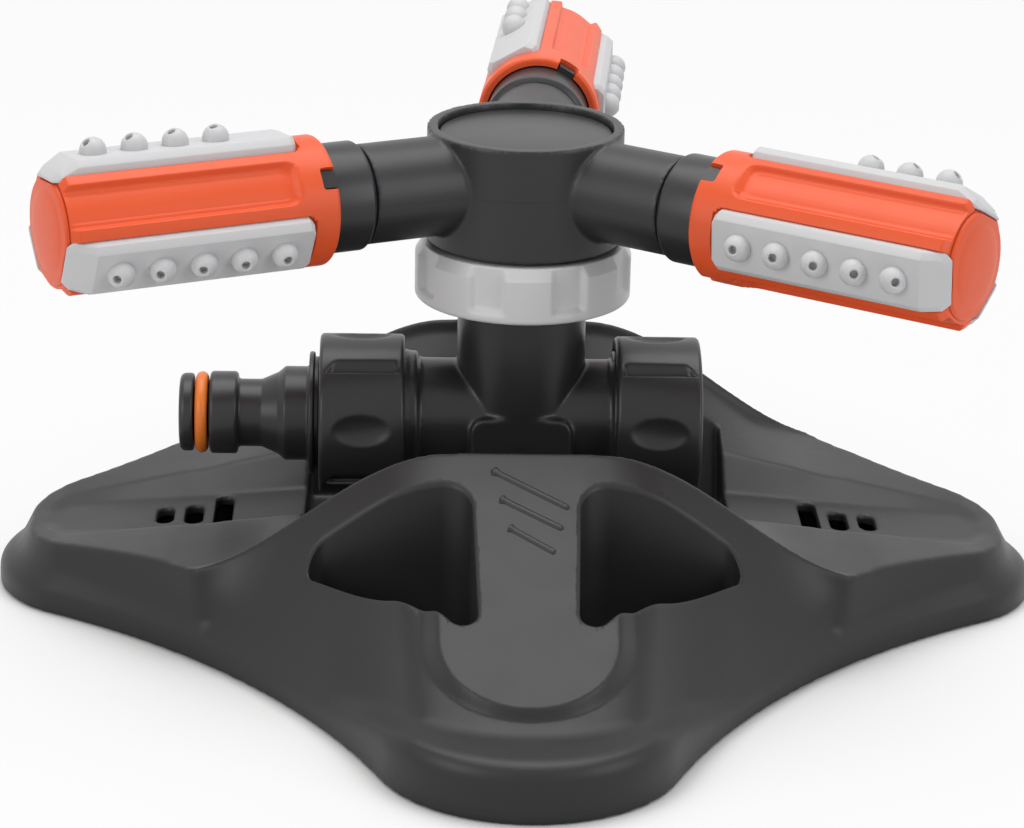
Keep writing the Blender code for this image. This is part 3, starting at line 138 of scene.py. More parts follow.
# Faces of the base once its edges are rounded, and the angle past which an edge stays sharp
BASE_FACES = 176000
BASE_SHARP_ANGLE = 50.0
PEDESTAL_SIDE = 0.0240
PEDESTAL_TOP_Z = 0.0140
PEDESTAL_FOOT_Z = 0.0050
SCREW_SPREAD = 0.0065
SCREW_HOLE_R = 0.0022
SCREW_WELL_R = 0.0040
SCREW_SEAT_Z = 0.0085
PILOT_DEPTH = (0.0096, 0.0102)
TONGUE_HALF = 0.0178
TONGUE_CREST_HALF = 0.0125
TONGUE_SPREAD_Y = (0.050, 0.066)
TONGUE_BEND_Y = 0.0820
TONGUE_SIDE_SOFT = 0.0020
TONGUE_NOSE_SOFT = 0.0005
TONGUE_END_Y = 0.0994
# Fall per mm of run, and the curve per mm squared
TONGUE_SLOPE = 0.486
TONGUE_CURVE = 0.0004
TONGUE_DEPTH = (0.0015, 0.0050)
TONGUE_MARGIN = (0.006, 0.004)
TONGUE_SOFT_RATE = 1.6
DRAIN_SLOTS = ((0.0594, 0.0180, 0.0036), (0.0653, 0.0100, 0.0035), (0.07105, 0.0084, 0.0033))
RAISED_BARS = (
    ((-0.0066, -0.0449), (0.0081, -0.0538)),
    ((-0.0051, -0.0515), (0.0068, -0.0586)),
    ((-0.0035, -0.0582), (0.0052, -0.0641)),
)
BAR_RISE = 0.0004
BAR_ROOT = 0.0006
BAR_STEPS = 40
BAR_SIDES = 12
BAR_BEAD_SHARE = 0.045
BAR_BEAD_WIDTH = 0.035


def ramp(value, start, end):
    """From 0 at start to 1 at end, level at both ends. It also works on arrays."""
    share = np.clip((value - start) / (end - start), 0.0, 1.0)
    return share * share * (3.0 - 2.0 * share)


def blend(start, end, share):
    return start + (end - start) * share


# Meshes


def new_object(name, mesh):
    piece = bpy.data.objects.new(name, mesh)
    bpy.context.scene.collection.objects.link(piece)
    return piece


def mesh_from(name, bm):
    mesh = bpy.data.meshes.new(name)
    bm.to_mesh(mesh)
    bm.free()
    return mesh


def opened(mesh):
    bm = bmesh.new()
    bm.from_mesh(mesh)
    return bm


def closed_mesh(name, points, faces):
    """A closed mesh from points and faces, with doubled points merged and its faces outwards."""
    mesh = bpy.data.meshes.new(name)
    mesh.from_pydata(np.asarray(points).reshape(-1, 3).tolist(), [], np.asarray(faces).tolist())
    bm = opened(mesh)
    bmesh.ops.remove_doubles(bm, verts=bm.verts, dist=MERGE_GAP)
    bmesh.ops.dissolve_degenerate(bm, edges=bm.edges, dist=MERGE_GAP)
    if bm.calc_volume(signed=True) < 0.0:
        bmesh.ops.reverse_faces(bm, faces=bm.faces)
    bm.to_mesh(mesh)
    bm.free()
    return mesh


def grid_faces(rows, columns, loop):
    """Quads of a grid whose columns close on themselves, and its rows too where it is a loop."""
    i = np.arange(rows if loop else rows - 1)[:, None]
    j = np.arange(columns)[None, :]
    near, far = i * columns, ((i + 1) % rows) * columns
    beside = (j + 1) % columns
    return np.stack((near + j, near + beside, far + beside, far + j), -1).reshape(-1, 4)


def rounded(corners, closed=True, steps=5):
    """A flat outline with rounded corners. Each corner is two coordinates and maybe a rounding."""
    places = [Vector(corner[:2]) for corner in corners]
    count = len(places)
    outline = []
    for i, corner in enumerate(corners):
        radius = corner[2] if len(corner) > 2 else 0.0
        if radius <= 0.0 or (not closed and i in (0, count - 1)):
            outline.append(tuple(places[i]))
            continue
        before, after = places[i - 1] - places[i], places[(i + 1) % count] - places[i]
        half = before.angle(after) / 2.0
        reach = min(radius / math.tan(half), before.length * CORNER_SHARE, after.length * CORNER_SHARE)
        radius = reach * math.tan(half)
        into, out = before.normalized(), after.normalized()
        centre = places[i] + (into + out).normalized() * radius / math.sin(half)
        start, end = places[i] + into * reach - centre, places[i] + out * reach - centre
        turn = start.angle_signed(end)
        for k in range(steps + 1):
            arm = start.copy()
            arm.rotate(Matrix.Rotation(-turn * k / steps, 2))
            outline.append(tuple(centre + arm))
    return outline


def refined(outline, pitch, closed=True):
    """The outline with points added so that no two are further apart than the pitch."""
    points = [np.array(point) for point in outline]
    ends = points[1:] + (points[:1] if closed else [])
    fine = []
    for start, end in zip(points, ends):
        count = max(1, int(math.ceil(np.linalg.norm(end - start) / pitch)))
        fine += [blend(start, end, k / count) for k in range(count)]
    return fine if closed else fine + [points[-1]]


def turned(name, section, turns=96, form=None, axis="Z"):
    """A half section of (radius, height) points turned about an axis. form may move each point."""
    section = np.array(section, float)
    angles = np.linspace(0.0, 2.0 * math.pi, turns, endpoint=False) if np.isscalar(turns) else turns
    radius, height, angle = np.broadcast_arrays(section[:, :1], section[:, 1:], angles[None, :])
    if form is not None:
        radius, height = form(radius, height, angle)
    if axis == "Z":
        points = np.stack((radius * np.cos(angle), radius * np.sin(angle), height), -1)
    else:
        points = np.stack((height, radius * np.sin(angle), radius * np.cos(angle)), -1)
    loop = section[0, 0] > 0.0 or section[-1, 0] > 0.0
    return closed_mesh(name, points, grid_faces(len(section), len(angles), loop))


def spaced(knots):
    """Even steps between knots. Each knot is a start, an end and a count of steps."""
    return np.concatenate([np.linspace(start, end, count, endpoint=False) for start, end, count in knots])


def stepped(start, *steps):
    """The half section of a stepped rod: where it starts, then the radius and the end of each step."""
    section = [(0.0, start)]
    for radius, end in steps:
        section += [(radius, start), (radius, end)]
        start = end
    return section + [(0.0, start)]


def box_mesh(name, low, high):
    low, high = Vector(low), Vector(high)
    bm = bmesh.new()
    bmesh.ops.create_cube(bm, size=1.0)
    bmesh.ops.scale(bm, vec=high - low, verts=bm.verts)
    bmesh.ops.translate(bm, vec=(high + low) / 2.0, verts=bm.verts)
    return mesh_from(name, bm)


def prism_mesh(name, outline, low, high):
    """A flat outline of (x, y) points, given a height from low to high."""
    bm = bmesh.new()
    foot = bm.faces.new([bm.verts.new((x, y, low)) for x, y in outline])
    raised = bmesh.ops.extrude_face_region(bm, geom=[foot])["geom"]
    tops = [item for item in raised if isinstance(item, bmesh.types.BMVert)]
    bmesh.ops.translate(bm, vec=(0.0, 0.0, high - low), verts=tops)
    bmesh.ops.recalc_face_normals(bm, faces=bm.faces)
    return mesh_from(name, bm)


def lofted_mesh(name, sections):
    """A closed solid through sections of as many points each, with flat ends."""
    bm = bmesh.new()
    rows = [[bm.verts.new(point) for point in section] for section in sections]
    count = len(rows[0])
    for low, high in zip(rows, rows[1:]):
        for i in range(count):
            j = (i + 1) % count
            bm.faces.new((low[i], low[j], high[j], high[i]))
    bm.faces.new(rows[0][::-1])
    bm.faces.new(rows[-1])
    bmesh.ops.recalc_face_normals(bm, faces=bm.faces)
    return mesh_from(name, bm)


def moved(mesh, matrix):
    mesh.transform(matrix)
    if matrix.determinant() < 0.0:
        mesh.flip_normals()
    return mesh


def along_x(mesh):
    """Turns a mesh made about Z so that its axis lies along +X."""
    return moved(mesh, Matrix.Rotation(math.radians(90.0), 4, "Y"))


def cut(piece, mesh, operation="DIFFERENCE"):
    """Cuts a mesh out of a piece, or joins it, once the piece is settled."""
    tool = new_object(mesh.name, mesh)
    boolean = piece.modifiers.new(operation.title(), "BOOLEAN")
    boolean.operation = operation
    boolean.solver = "MANIFOLD"
    boolean.object = tool
    return piece


def join(piece, mesh):
    return cut(piece, mesh, "UNION")


def settled(piece):
    """Applies a piece's modifiers, and removes the tools that they used."""
    graph = bpy.context.evaluated_depsgraph_get()
    mesh = bpy.data.meshes.new_from_object(piece.evaluated_get(graph))
    tools = {m.object for m in piece.modifiers if m.type == "BOOLEAN"}
    piece.modifiers.clear()
    mesh.name = piece.name
    piece.data = mesh
    for tool in tools:
        bpy.data.objects.remove(tool, do_unlink=True)
    return piece


def mesh_of(piece):
    """The mesh of a piece once its modifiers are applied. The piece itself goes."""
    mesh = settled(piece).data
    bpy.data.objects.remove(piece, do_unlink=True)
    return mesh


def softened(piece, passes, voxel=None, faces=None):
    """Rounds every edge of a piece by a fine remesh and smoothing, then thins its faces."""
    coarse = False
    if voxel:
        remesh = piece.modifiers.new("Fine mesh", "REMESH")
        remesh.mode = "VOXEL"
        remesh.voxel_size = voxel * 2.0 if coarse else voxel
        passes = passes // 4 if coarse else passes
    even = piece.modifiers.new("Round edges", "SMOOTH")
    even.factor = 0.5
    even.iterations = passes
    settled(piece)
    count = sum(len(face.vertices) - 2 for face in piece.data.polygons)
    if faces and count > faces:
        thin = piece.modifiers.new("Fewer faces", "DECIMATE")
        thin.ratio = faces / count / (4.0 if coarse else 1.0)
        settled(piece)
    piece.data.shade_smooth()
    return piece


def smoothed(piece, angle=40.0):
    piece.data.shade_smooth()
    piece.data.set_sharp_from_angle(angle=math.radians(angle))
    return piece


def placed(piece, material, body, *nodes, slot):
    """Gives a finished piece its material and its body, and hides the parts that it stands for. Its slot is not used.
    """
    piece.data.materials.clear()
    piece.data.materials.append(material)
    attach(piece, body)
    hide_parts(*nodes)
    return piece


# Nodes and finishes


class Wire:
    """An output of a node tree, with arithmetic that adds Math nodes to the tree."""

    def __init__(self, bench, socket):
        self.bench = bench
        self.socket = socket

    def maths(self, operation, first, second):
        return self.bench.add("ShaderNodeMath", {"operation": operation}, {0: first, 1: second})

    def __add__(self, other):
        return self.maths("ADD", self, other)

    __radd__ = __add__

    def __mul__(self, other):
        return self.maths("MULTIPLY", self, other)

    __rmul__ = __mul__

    def __sub__(self, other):
        return self.maths("SUBTRACT", self, other)

    def __rsub__(self, other):
        return self.maths("SUBTRACT", other, self)

    def __abs__(self):
        return self.maths("ABSOLUTE", self, 0.0)

    def __lt__(self, other):
        return self.maths("LESS_THAN", self, other)


class Bench:
    """Adds nodes to one tree."""

    def __init__(self, tree):
        self.tree = tree
        tree.nodes.clear()

    def add(self, kind, settings=None, inputs=None, output=0):
        """A node of a kind, its settings first, then the values or wires of its inputs."""
        node = self.tree.nodes.new(kind)
        for key, value in (settings or {}).items():
            setattr(node, key, value)
        for key, value in (inputs or {}).items():
            if isinstance(value, Wire):
                self.tree.links.new(value.socket, node.inputs[key])
            else:
                node.inputs[key].default_value = value
        return Wire(self, node.outputs[output]) if len(node.outputs) else node


def colour_mix(bench, share, first, second):
    inputs = {0: share, 6: (*first, 1.0), 7: (*second, 1.0)}
    return bench.add("ShaderNodeMix", {"data_type": "RGBA"}, inputs, 2)


def toned(colour, share):
    """The colour made lighter by a share, or darker by a negative one."""
    return tuple(min(1.0, channel * (1.0 + share)) for channel in colour)


def moulded(name, colour, roughness, tone=0.08, gloss=0.05, grain=0.012, parting=None, metallic=0.0, sheen=0.5):
    """Moulded plastic, rubber or steel: slow changes of tone and gloss, a fine grain and a parting line."""
    material = bpy.data.materials.new(name)
    material.use_nodes = True
    bench = Bench(material.node_tree)
    place = bench.add("ShaderNodeTexCoord", output="Object")
    flow, wear, speck = (
        bench.add("ShaderNodeTexNoise", {}, {"Vector": place, "Scale": scale, "Detail": detail, "Roughness": rough})
        for scale, detail, rough in ((26.0, 3.0, 0.55), (140.0, 4.0, 0.6), (2600.0, 2.0, 0.5))
    )
    tint = colour_mix(bench, flow, toned(colour, -tone), toned(colour, tone))
    height = speck * 1.0 + wear * 0.4
    if parting is not None:
        axis, at = parting
        parts = bench.add("ShaderNodeSeparateXYZ", {}, {"Vector": place}, "XYZ".index(axis))
        height = height + (abs(parts - at) < PARTING_HALF) * 2.5
    bump = bench.add("ShaderNodeBump", {}, {"Strength": 1.0, "Distance": grain * MM, "Height": height})
    values = {
        "Base Color": tint,
        "Roughness": wear * (2.0 * gloss) + (roughness - gloss),
        "Metallic": metallic,
        "Specular IOR Level": sheen,
        "Normal": bump,
    }
    shader = bench.add("ShaderNodeBsdfPrincipled", {}, values)
    bench.add("ShaderNodeOutputMaterial", {}, {"Surface": shader})
    return material


def finishes():
    """The object's materials, made once each from the colours that the panel holds."""
    made = bpy.data.materials
    if "base_plastic" in made:
        return made
    scene = bpy.context.scene
    dark, pale = scene.sprinkler_dark, scene.sprinkler_pale
    base_line, rotor_line = ("Z", 0.0023), ("Z", ARM_AXIS_Z)
    moulded("base_plastic", dark.base_colour, dark.base_roughness, parting=base_line, grain=0.016, sheen=0.32)
    moulded("fitting_plastic", dark.fitting_colour, dark.fitting_roughness, sheen=0.36)
    moulded("rotor_plastic", dark.fitting_colour, dark.fitting_roughness + 0.04, parting=rotor_line, sheen=0.36)
    moulded("ring_plastic", pale.ring_colour, 0.42, tone=0.03)
    moulded("nozzle_rubber", pale.strip_colour, 0.52, tone=0.03)
    moulded("orange_plastic", pale.orange_colour, 0.38, tone=0.05, grain=0.010, sheen=0.3)
    moulded("orange_rubber", (0.80, 0.19, 0.018), 0.42, tone=0.05)
    moulded("black_rubber", (0.022, 0.022, 0.022), 0.65, tone=0.1)
    moulded("screw_steel", (0.60, 0.60, 0.62), 0.28, tone=0.04, grain=0.01, metallic=1.0)
    return made


# Base


def plan_centres():
    """Centres of a side nose and an end nose, and of the hollow arc that touches both."""
    side = Vector((BASE_HIGH.x - SIDE_NOSE_R, 0.0))
    front = Vector((0.0, BASE_HIGH.y - FRONT_NOSE_R))
    side_gap, front_gap = WAIST_R + SIDE_NOSE_R, WAIST_R + FRONT_NOSE_R
    span = front - side
    along = (side_gap**2 - front_gap**2 + span.length**2) / (2.0 * span.length)
    across = math.sqrt(side_gap**2 - along**2)
    unit = span.normalized()
    return side, front, side + unit * along + Vector((unit.y, -unit.x)) * across


def outline_columns(nose_steps, waist_steps):
    """A quarter of the plan: each column's point, unit outward, ridge set-back and channel end."""
    side, front, hollow = plan_centres()
    side_touch = side + (hollow - side).normalized() * SIDE_NOSE_R
    front_touch = front + (hollow - front).normalized() * FRONT_NOSE_R
    columns = []
    side_angle = math.atan2(*(side_touch - side).yx)
    fan_x = side_touch.x - RIDGE_MARGIN * math.cos(side_angle)
    for i in range(nose_steps):
        angle = side_angle * i / nose_steps
        unit = Vector((math.cos(angle), math.sin(angle)))
        land = blend(NOSE_LAND, RIDGE_MARGIN, i / nose_steps)
        columns.append((side + unit * SIDE_NOSE_R, unit, unit * land, fan_x))
    for i in range(waist_steps + 1):
        x = blend(side_touch.x, front_touch.x, i / waist_steps)
        point = Vector((x, hollow.y - math.sqrt(WAIST_R**2 - (hollow.x - x) ** 2)))
        unit = (hollow - point).normalized()
        turn = max(0.0, 1.0 - i * 9.0 / (4.0 * waist_steps))
        set_back = Vector((unit.x * turn, unit.y)) * RIDGE_MARGIN
        columns.append((point, unit, set_back, x - set_back.x))
    front_angle = math.atan2(*(front_touch - front).yx)
    for i in range(1, nose_steps + 1):
        angle = blend(front_angle, math.pi / 2.0, i / nose_steps)
        unit = Vector((math.cos(angle), math.sin(angle)))
        point = front + unit * FRONT_NOSE_R
        columns.append((point, unit, Vector((0.0, RIDGE_MARGIN)), point.x))
    return columns


def lobe_top(x):
    return LOBE_TOP_Z - max(0.0, x - CREST_FOOT_HALF) * LOBE_TOP_FALL


def ridge_height(x):
    share = min(1.0, max(0.0, (x - CREST_FLAT_HALF) / (CREST_FOOT_HALF - CREST_FLAT_HALF)))
    return blend(lobe_top(x), BASE_HIGH.z, 0.5 * (1.0 + math.cos(math.pi * share)))


def nose_share(x):
    """1 within an end nose, falling to 0 at the waist."""
    return 1.0 - float(ramp(x, *NOSE_SPAN))


def flank_form(x):
    """The sizes that FLANKS lists, at a distance along the hose."""
    front, tip = nose_share(x), float(ramp(x, *TIP_SPAN))
    return tuple(blend(waist, nose, front) + more * tip for waist, nose, more in FLANKS)


def base_column(point, unit, set_back, axis_x):
    """The corners of one column: plan places and heights from the ground up and then inwards."""
    top = point - set_back
    top.y = min(RIDGE_Y, top.y)
    lobe = top.x - axis_x
    ridge = ridge_height(top.x)
    raised = min(1.0, 4.0 * (ridge - lobe_top(top.x)) / (BASE_HIGH.z - LOBE_TOP_Z))
    foot_y = top.y - min(RIDGE_LIP_WIDTH, top.y * 0.1)
    foot_z = ridge - RIDGE_LIP_DROP * raised
    beyond = axis_x - WELL_HALF_X
    edge_y = min(CHANNEL_EDGE_HALF - beyond * CHANNEL_TAPER, top.y * 0.62)
    edge_z = min(CHANNEL_EDGE_Z - beyond * CHANNEL_EDGE_FALL, foot_z)
    floor_z = min(CHANNEL_FLOOR_Z - beyond * CHANNEL_FLOOR_FALL, edge_z)
    foot_x, edge_x, floor_x = (axis_x + lobe * share for share in LOBE_SHARES)
    inner = [
        (foot_x, foot_y, foot_z),
        (edge_x, edge_y, edge_z),
        (floor_x, edge_y * 0.6, floor_z),
        (axis_x, 0.0, floor_z),
    ]
    return (top.x, top.y, ridge), inner


def shoulder_way(point, unit):
    """The way in from the outline, nearly straight back at the sides of an end nose."""
    return Vector((unit.x * blend(1.0, NOSE_SPREAD, nose_share(point.x)), unit.y))


def fine_column(point, unit, set_back, axis_x):
    """One column of the outer skin with its skirt and shoulder rounded."""
    ridge, inner = base_column(point, unit, set_back, axis_x)
    skirt, skirt_r, inset, shoulder, shoulder_r = flank_form(point.x)
    top = Vector(ridge[:2])
    unit = shoulder_way(point, unit)
    inset = min(inset, (point - top).length * INSET_SHARE)
    shoulder = min(shoulder, ridge[2] - SHOULDER_GAP)
    waist = point - unit * inset
    far = (waist - top).length
    section = rounded(
        [(0.0, 0.0), (0.0, skirt, skirt_r), (inset, shoulder, shoulder_r), (inset + far, ridge[2])],
        closed=False,
        steps=7,
    )
    places = []
    for depth, height in section:
        if depth <= inset:
            plan = point.lerp(waist, depth / inset)
        else:
            plan = waist.lerp(top, (depth - inset) / far)
        places.append((plan.x, plan.y, height))
    last, ridge_place = np.array(places[-2]), np.array(places[-1])
    run = [tuple(blend(last, ridge_place, k / RUN_STEPS)) for k in range(1, RUN_STEPS)]
    land = (ridge[0], ridge[1] * (1.0 - RIDGE_LAND / RIDGE_Y), ridge[2])
    return places[:-1] + run + [places[-1], land] + inner


def coarse_column(point, unit, set_back, axis_x):
    """The same column without roundings, for the hollow under the skin."""
    ridge, inner = base_column(point, unit, set_back, axis_x)
    skirt, _, inset, shoulder, _ = flank_form(point.x)
    inset = min(inset, (point - Vector(ridge[:2])).length * INSET_SHARE)
    waist = point - shoulder_way(point, unit) * inset
    roof = (ridge[0], ridge[1], inner[0][2])
    return [(point.x, point.y, 0.0), (waist.x, waist.y, min(shoulder, roof[2])), roof] + inner[1:]


def base_block(name, columns, wall=0.0):
    """The skin of four quarters filled down to a flat foot. With a wall it is the hollow inside."""
    bm = bmesh.new()
    rows = [[bm.verts.new(place) for place in column] for column in columns]
    for first, second in zip(rows, rows[1:]):
        for k in range(len(first) - 1):
            bm.faces.new((first[k], second[k], second[k + 1], first[k + 1]))
    for vert in rows[0]:
        vert.co.y = 0.0
    for vert in rows[-1]:
        vert.co.x = 0.0
    bmesh.ops.remove_doubles(bm, verts=bm.verts, dist=0.00002)
    block = new_object(name, mesh_from(name, bm))
    mirror = block.modifiers.new("Four quarters", "MIRROR")
    mirror.use_axis = (True, True, False)
    mirror.merge_threshold = 0.00005
    if wall > 0.0:
        inwards = block.modifiers.new("Wall", "DISPLACE")
        inwards.direction = "NORMAL"
        inwards.mid_level = 0.0
        inwards.strength = -wall
    settled(block)
    bm = opened(block.data)
    rim = [edge for edge in bm.edges if edge.is_boundary]
    foot = {vert for edge in rim for vert in edge.verts}
    bmesh.ops.translate(bm, vec=(0.0, 0.0, -wall), verts=list(foot))
    bmesh.ops.contextual_create(bm, geom=rim)
    bmesh.ops.recalc_face_normals(bm, faces=bm.faces)
    bmesh.ops.triangulate(bm, faces=bm.faces)
    bm.to_mesh(block.data)
    bm.free()
    return block


def pocket_outline(grow, flip_x, flip_y):
    """A three-cornered pocket with round corners, grown outwards by an amount."""
    places = [Vector(corner[:2]) for corner in POCKET_CORNERS]
    corners = []
    for i, place in enumerate(places):
        sides = place - places[i - 1], places[(i + 1) % 3] - place
        first, second = (Vector((-side.y, side.x)).normalized() for side in sides)
        moved_out = place + (first + second) * grow / (1.0 + first.dot(second))
        corners.append((*moved_out, POCKET_CORNERS[i][2] + grow))
    return [Vector((x * flip_x, y * flip_y)) for x, y in rounded(corners, steps=14)]


def lip_mesh(skin, flip_x, flip_y):
    """What rounds the edge of a pocket: a ring that follows the skin, with an arc for its underside."""
    width, depth = POCKET_LIP
    arc = [math.radians(angle) for angle in POCKET_LIP_ARC]
    section = [(-CLEARANCE, -depth)] + [(width * (1.0 - math.cos(a)), -depth * (1.0 - math.sin(a))) for a in arc]
    outer = width + CLEARANCE
    section += [(outer, 0.0002), (outer, POCKET_LIP_TOP), (-CLEARANCE, POCKET_LIP_TOP)]
    outlines = [pocket_outline(grow, flip_x, flip_y) for grow, _ in section]
    points = []
    for i in range(len(outlines[0])):
        count = max(1, math.ceil((outlines[0][i] - outlines[0][i - 1]).length / MM))
        for k in range(count):
            for line, (_, rise) in zip(outlines, section):
                place = line[i - 1].lerp(line[i], k / count)
                top = skin.ray_cast(Vector((*place, 1.0)), Vector((0.0, 0.0, -1.0)))[0]
                points.append((*place, top.z + rise))
    return closed_mesh("lip", points, grid_faces(len(points) // len(section), len(section), True))


def well_mesh(name, grow, low, high):
    """A straight-ended trough that widens upwards, grown outwards by an amount."""
    lean = (WELL_TOP_Y - WELL_HALF_Y) / (BASE_HIGH.z - RIDGE_LIP_DROP - WELL_FLOOR_Z)
    side = grow * math.hypot(1.0, lean)
    end = WELL_HALF_X + grow
    sections = []
    for height in (low, high):
        half = WELL_HALF_Y + (height - WELL_FLOOR_Z) * lean + side
        sections.append([(x * end, y * half, height) for x, y in ((1, -1), (1, 1), (-1, 1), (-1, -1))])
    return lofted_mesh(name, sections)


def tongue_height(y):
    """Height of the raised ramp between the pockets, at a distance in front of the axis."""
    run = (y - RIDGE_Y) / MM
    return BASE_HIGH.z + (TONGUE_CURVE * run * run - TONGUE_SLOPE * run) * MM


def skin_tree(base):
    """The uncut skin, to look up its height from above."""
    bm = opened(base.data)
    tree = BVHTree.FromBMesh(bm)
    bm.free()
    return tree


def raise_tongues(base, skin):
    """Lifts the fine skin of both end lobes up to the ramp, with soft sides and a small step in front."""
    mesh = base.data
    places = np.empty(len(mesh.vertices) * 3)
    mesh.vertices.foreach_get("co", places)
    places = places.reshape(-1, 3)
    across, along = np.abs(places[:, 0]), np.abs(places[:, 1])
    beside, beyond = TONGUE_MARGIN
    near = (across < TONGUE_HALF + beside) & (along > RIDGE_Y) & (along < TONGUE_END_Y + beyond)
    for i in np.nonzero(near)[0]:
        x, y, z = places[i]
        hit = skin.ray_cast(Vector((x, y, 1.0)), Vector((0.0, 0.0, -1.0)))[0]
        if hit is None:
            continue
        top = tongue_height(abs(y))
        past_bend = max(0.0, abs(y) - TONGUE_BEND_Y) / (TONGUE_END_Y - TONGUE_BEND_Y)
        half = blend(TONGUE_CREST_HALF, TONGUE_HALF, float(ramp(abs(y), *TONGUE_SPREAD_Y)))
        reach = (math.hypot(abs(x) / half, past_bend) - 1.0) * half
        soft = blend(TONGUE_SIDE_SOFT, TONGUE_NOSE_SOFT, min(1.0, past_bend * TONGUE_SOFT_RATE))
        share = 1.0 - float(ramp(reach, -soft, soft))
        depth = 1.0 - float(ramp(hit.z - z, *TONGUE_DEPTH))
        places[i, 2] += max(0.0, top - hit.z) * share * depth
    mesh.vertices.foreach_set("co", places.ravel())
    mesh.update()


def slot_outline(x, length, width):
    """A drain slot across the channel, with round ends."""
    corners = ((width / 2, length / 2), (-width / 2, length / 2), (-width / 2, -length / 2), (width / 2, -length / 2))
    return [(x + a, b) for a, b in rounded([(*corner, width * 0.48) for corner in corners], steps=6)]


def bar_mesh(start, end, width):
    """A raised bar that lies on the front ramp, with a bead at its upper end."""
    start, end = Vector(start), Vector(end)
    along = (end - start).normalized()
    across = Vector((-along.y, along.x))
    points = []
    for k in range(BAR_STEPS + 1):
        share = k / BAR_STEPS
        plan = start.lerp(end, share)
        taper = min(1.0, math.sqrt(max(0.0, 1.0 - (1.0 - min(1.0, share * 26.0)) ** 2)))
        taper *= math.sqrt(max(0.0, 1.0 - max(0.0, (share - 0.94) / 0.06) ** 2))
        bead = math.exp(-(((share - BAR_BEAD_SHARE) / BAR_BEAD_WIDTH) ** 2))
        half = width / 2.0 * (taper + 0.55 * bead) + 1.0e-6
        crown = BAR_RISE * (taper + 0.5 * bead)
        ring = []
        for j in range(BAR_SIDES):
            angle = 2.0 * math.pi * j / BAR_SIDES
            side = plan + across * (half * math.cos(angle))
            lift = math.sin(angle) * (crown if math.sin(angle) > 0.0 else BAR_ROOT)
            ring.append((side.x, side.y, tongue_height(-side.y) + lift))
        points.append(ring)
    return lofted_mesh("bar", points)


class SPRINKLER_OT_base(bpy.types.Operator):
    """Moulded four-lobed base with its well, pockets, drain slots, ramps and raised bars"""

    bl_idname = "sprinkler.base"
    bl_label = "Base"

    def execute(self, context):
        sizes = context.scene.sprinkler_dark
        quarters = [(x, y) for x in (1, -1) for y in (1, -1)]
        half = PEDESTAL_SIDE / 2.0
        coarse = [coarse_column(*column) for column in outline_columns(nose_steps=4, waist_steps=9)]
        hollow = base_block("hollow", coarse, BASE_WALL)
        for x, y in quarters:
            cut(hollow, prism_mesh("lining", pocket_outline(POCKET_WALL, x, y), POCKET_FOOT_Z, BASE_HIGH.z * 1.5))
        cut(hollow, well_mesh("well_lining", WELL_WALL, WELL_FLOOR_Z - WELL_WALL, BASE_HIGH.z * 1.2))
        cut(hollow, box_mesh("core", (-half, -half, PEDESTAL_FOOT_Z), (half, half, WELL_FLOOR_Z)))
        fine = [fine_column(*column) for column in outline_columns(nose_steps=18, waist_steps=44)]
        base = base_block("base_moulding", fine)
        skin = skin_tree(base)
        cut(base, mesh_of(hollow))
        cut(base, well_mesh("well", 0.0, WELL_FLOOR_Z, BASE_HIGH.z * 1.3))
        join(base, box_mesh("pedestal", (-half, -half, PEDESTAL_FOOT_Z), (half, half, PEDESTAL_TOP_Z)))
        for side in (1, -1):
            for x, length, width in DRAIN_SLOTS:
                cut(base, prism_mesh("slot", slot_outline(side * x, length, width), BASE_WALL, BASE_HIGH.z))
            place = Matrix.Translation((side * SCREW_SPREAD, 0.0, 0.0))
            for radius, top in ((SCREW_HOLE_R, PEDESTAL_TOP_Z * 1.2), (SCREW_WELL_R, SCREW_SEAT_Z)):
                cut(base, moved(turned("screw_hole", stepped(top, (radius, 0.0)), 24), place))
        settled(base)
        softened(base, voxel=sizes.base_voxel, passes=12)
        raise_tongues(base, skin)
        softened(base, passes=4, faces=BASE_FACES)
        raised_skin = skin_tree(base)
        for x, y in quarters:
            cut(base, prism_mesh("pocket", pocket_outline(0.0, x, y), -BASE_HIGH.z, BASE_HIGH.z * 2.0))
            cut(base, lip_mesh(raised_skin, x, y))
        settled(base)
        smoothed(base, angle=BASE_SHARP_ANGLE)
        base.modifiers.new("Even shading", "WEIGHTED_NORMAL").keep_sharp = True
        settled(base)
        placed(base, finishes()["base_plastic"], "stand", "base", slot="base")
        bm = bmesh.new()
        for start, end in RAISED_BARS:
            bm.from_mesh(bar_mesh(start, end, sizes.bar_width))
        bars = new_object("raised_bars", mesh_from("raised_bars", bm))
        bars.data.shade_smooth()
        bars.data.materials.append(finishes()["base_plastic"])
        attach(bars, "stand")
        return {"FINISHED"}


# Tee, hose nipple, union nut and end cap

TUBE_R = 0.0115
THREAD_R = 0.0131
FLANGE_R = 0.01285
FLANGE_WIDTH = 0.0022
INLET_SHOULDER_X = 0.0226
INLET_END_X = 0.0340
CAP_SHOULDER_X = 0.0183
CAP_END_X = 0.0316
RISER_R = 0.01275
RISER_SINK = 0.0024
CUP_R = 0.0172
CUP_BORE_R = 0.0134
CUP_FLOOR_T = 0.0024
RISER_BORE_R = 0.0074
BOSS_SIDE = 0.0200
BOSS_HALF_Y = 0.01255
BOSS_RISE = 0.0034
HOSE_BORE_R = 0.0080
NIPPLE_BORE_R = 0.0037
NIPPLE_FLANGE_R = 0.0126
NIPPLE_FLANGE_WIDTH = 0.0020
NIPPLE_NECK_R = 0.0100
NIPPLE_STEP_R = 0.0114
NIPPLE_DISC_R = 0.0124
NIPPLE_BARREL_R = 0.0094
NIPPLE_SHOULDER_R = 0.0082
NIPPLE_WAIST_R = 0.00675
NIPPLE_BEAD_R = 0.00825
NIPPLE_GROOVE_R = 0.0049
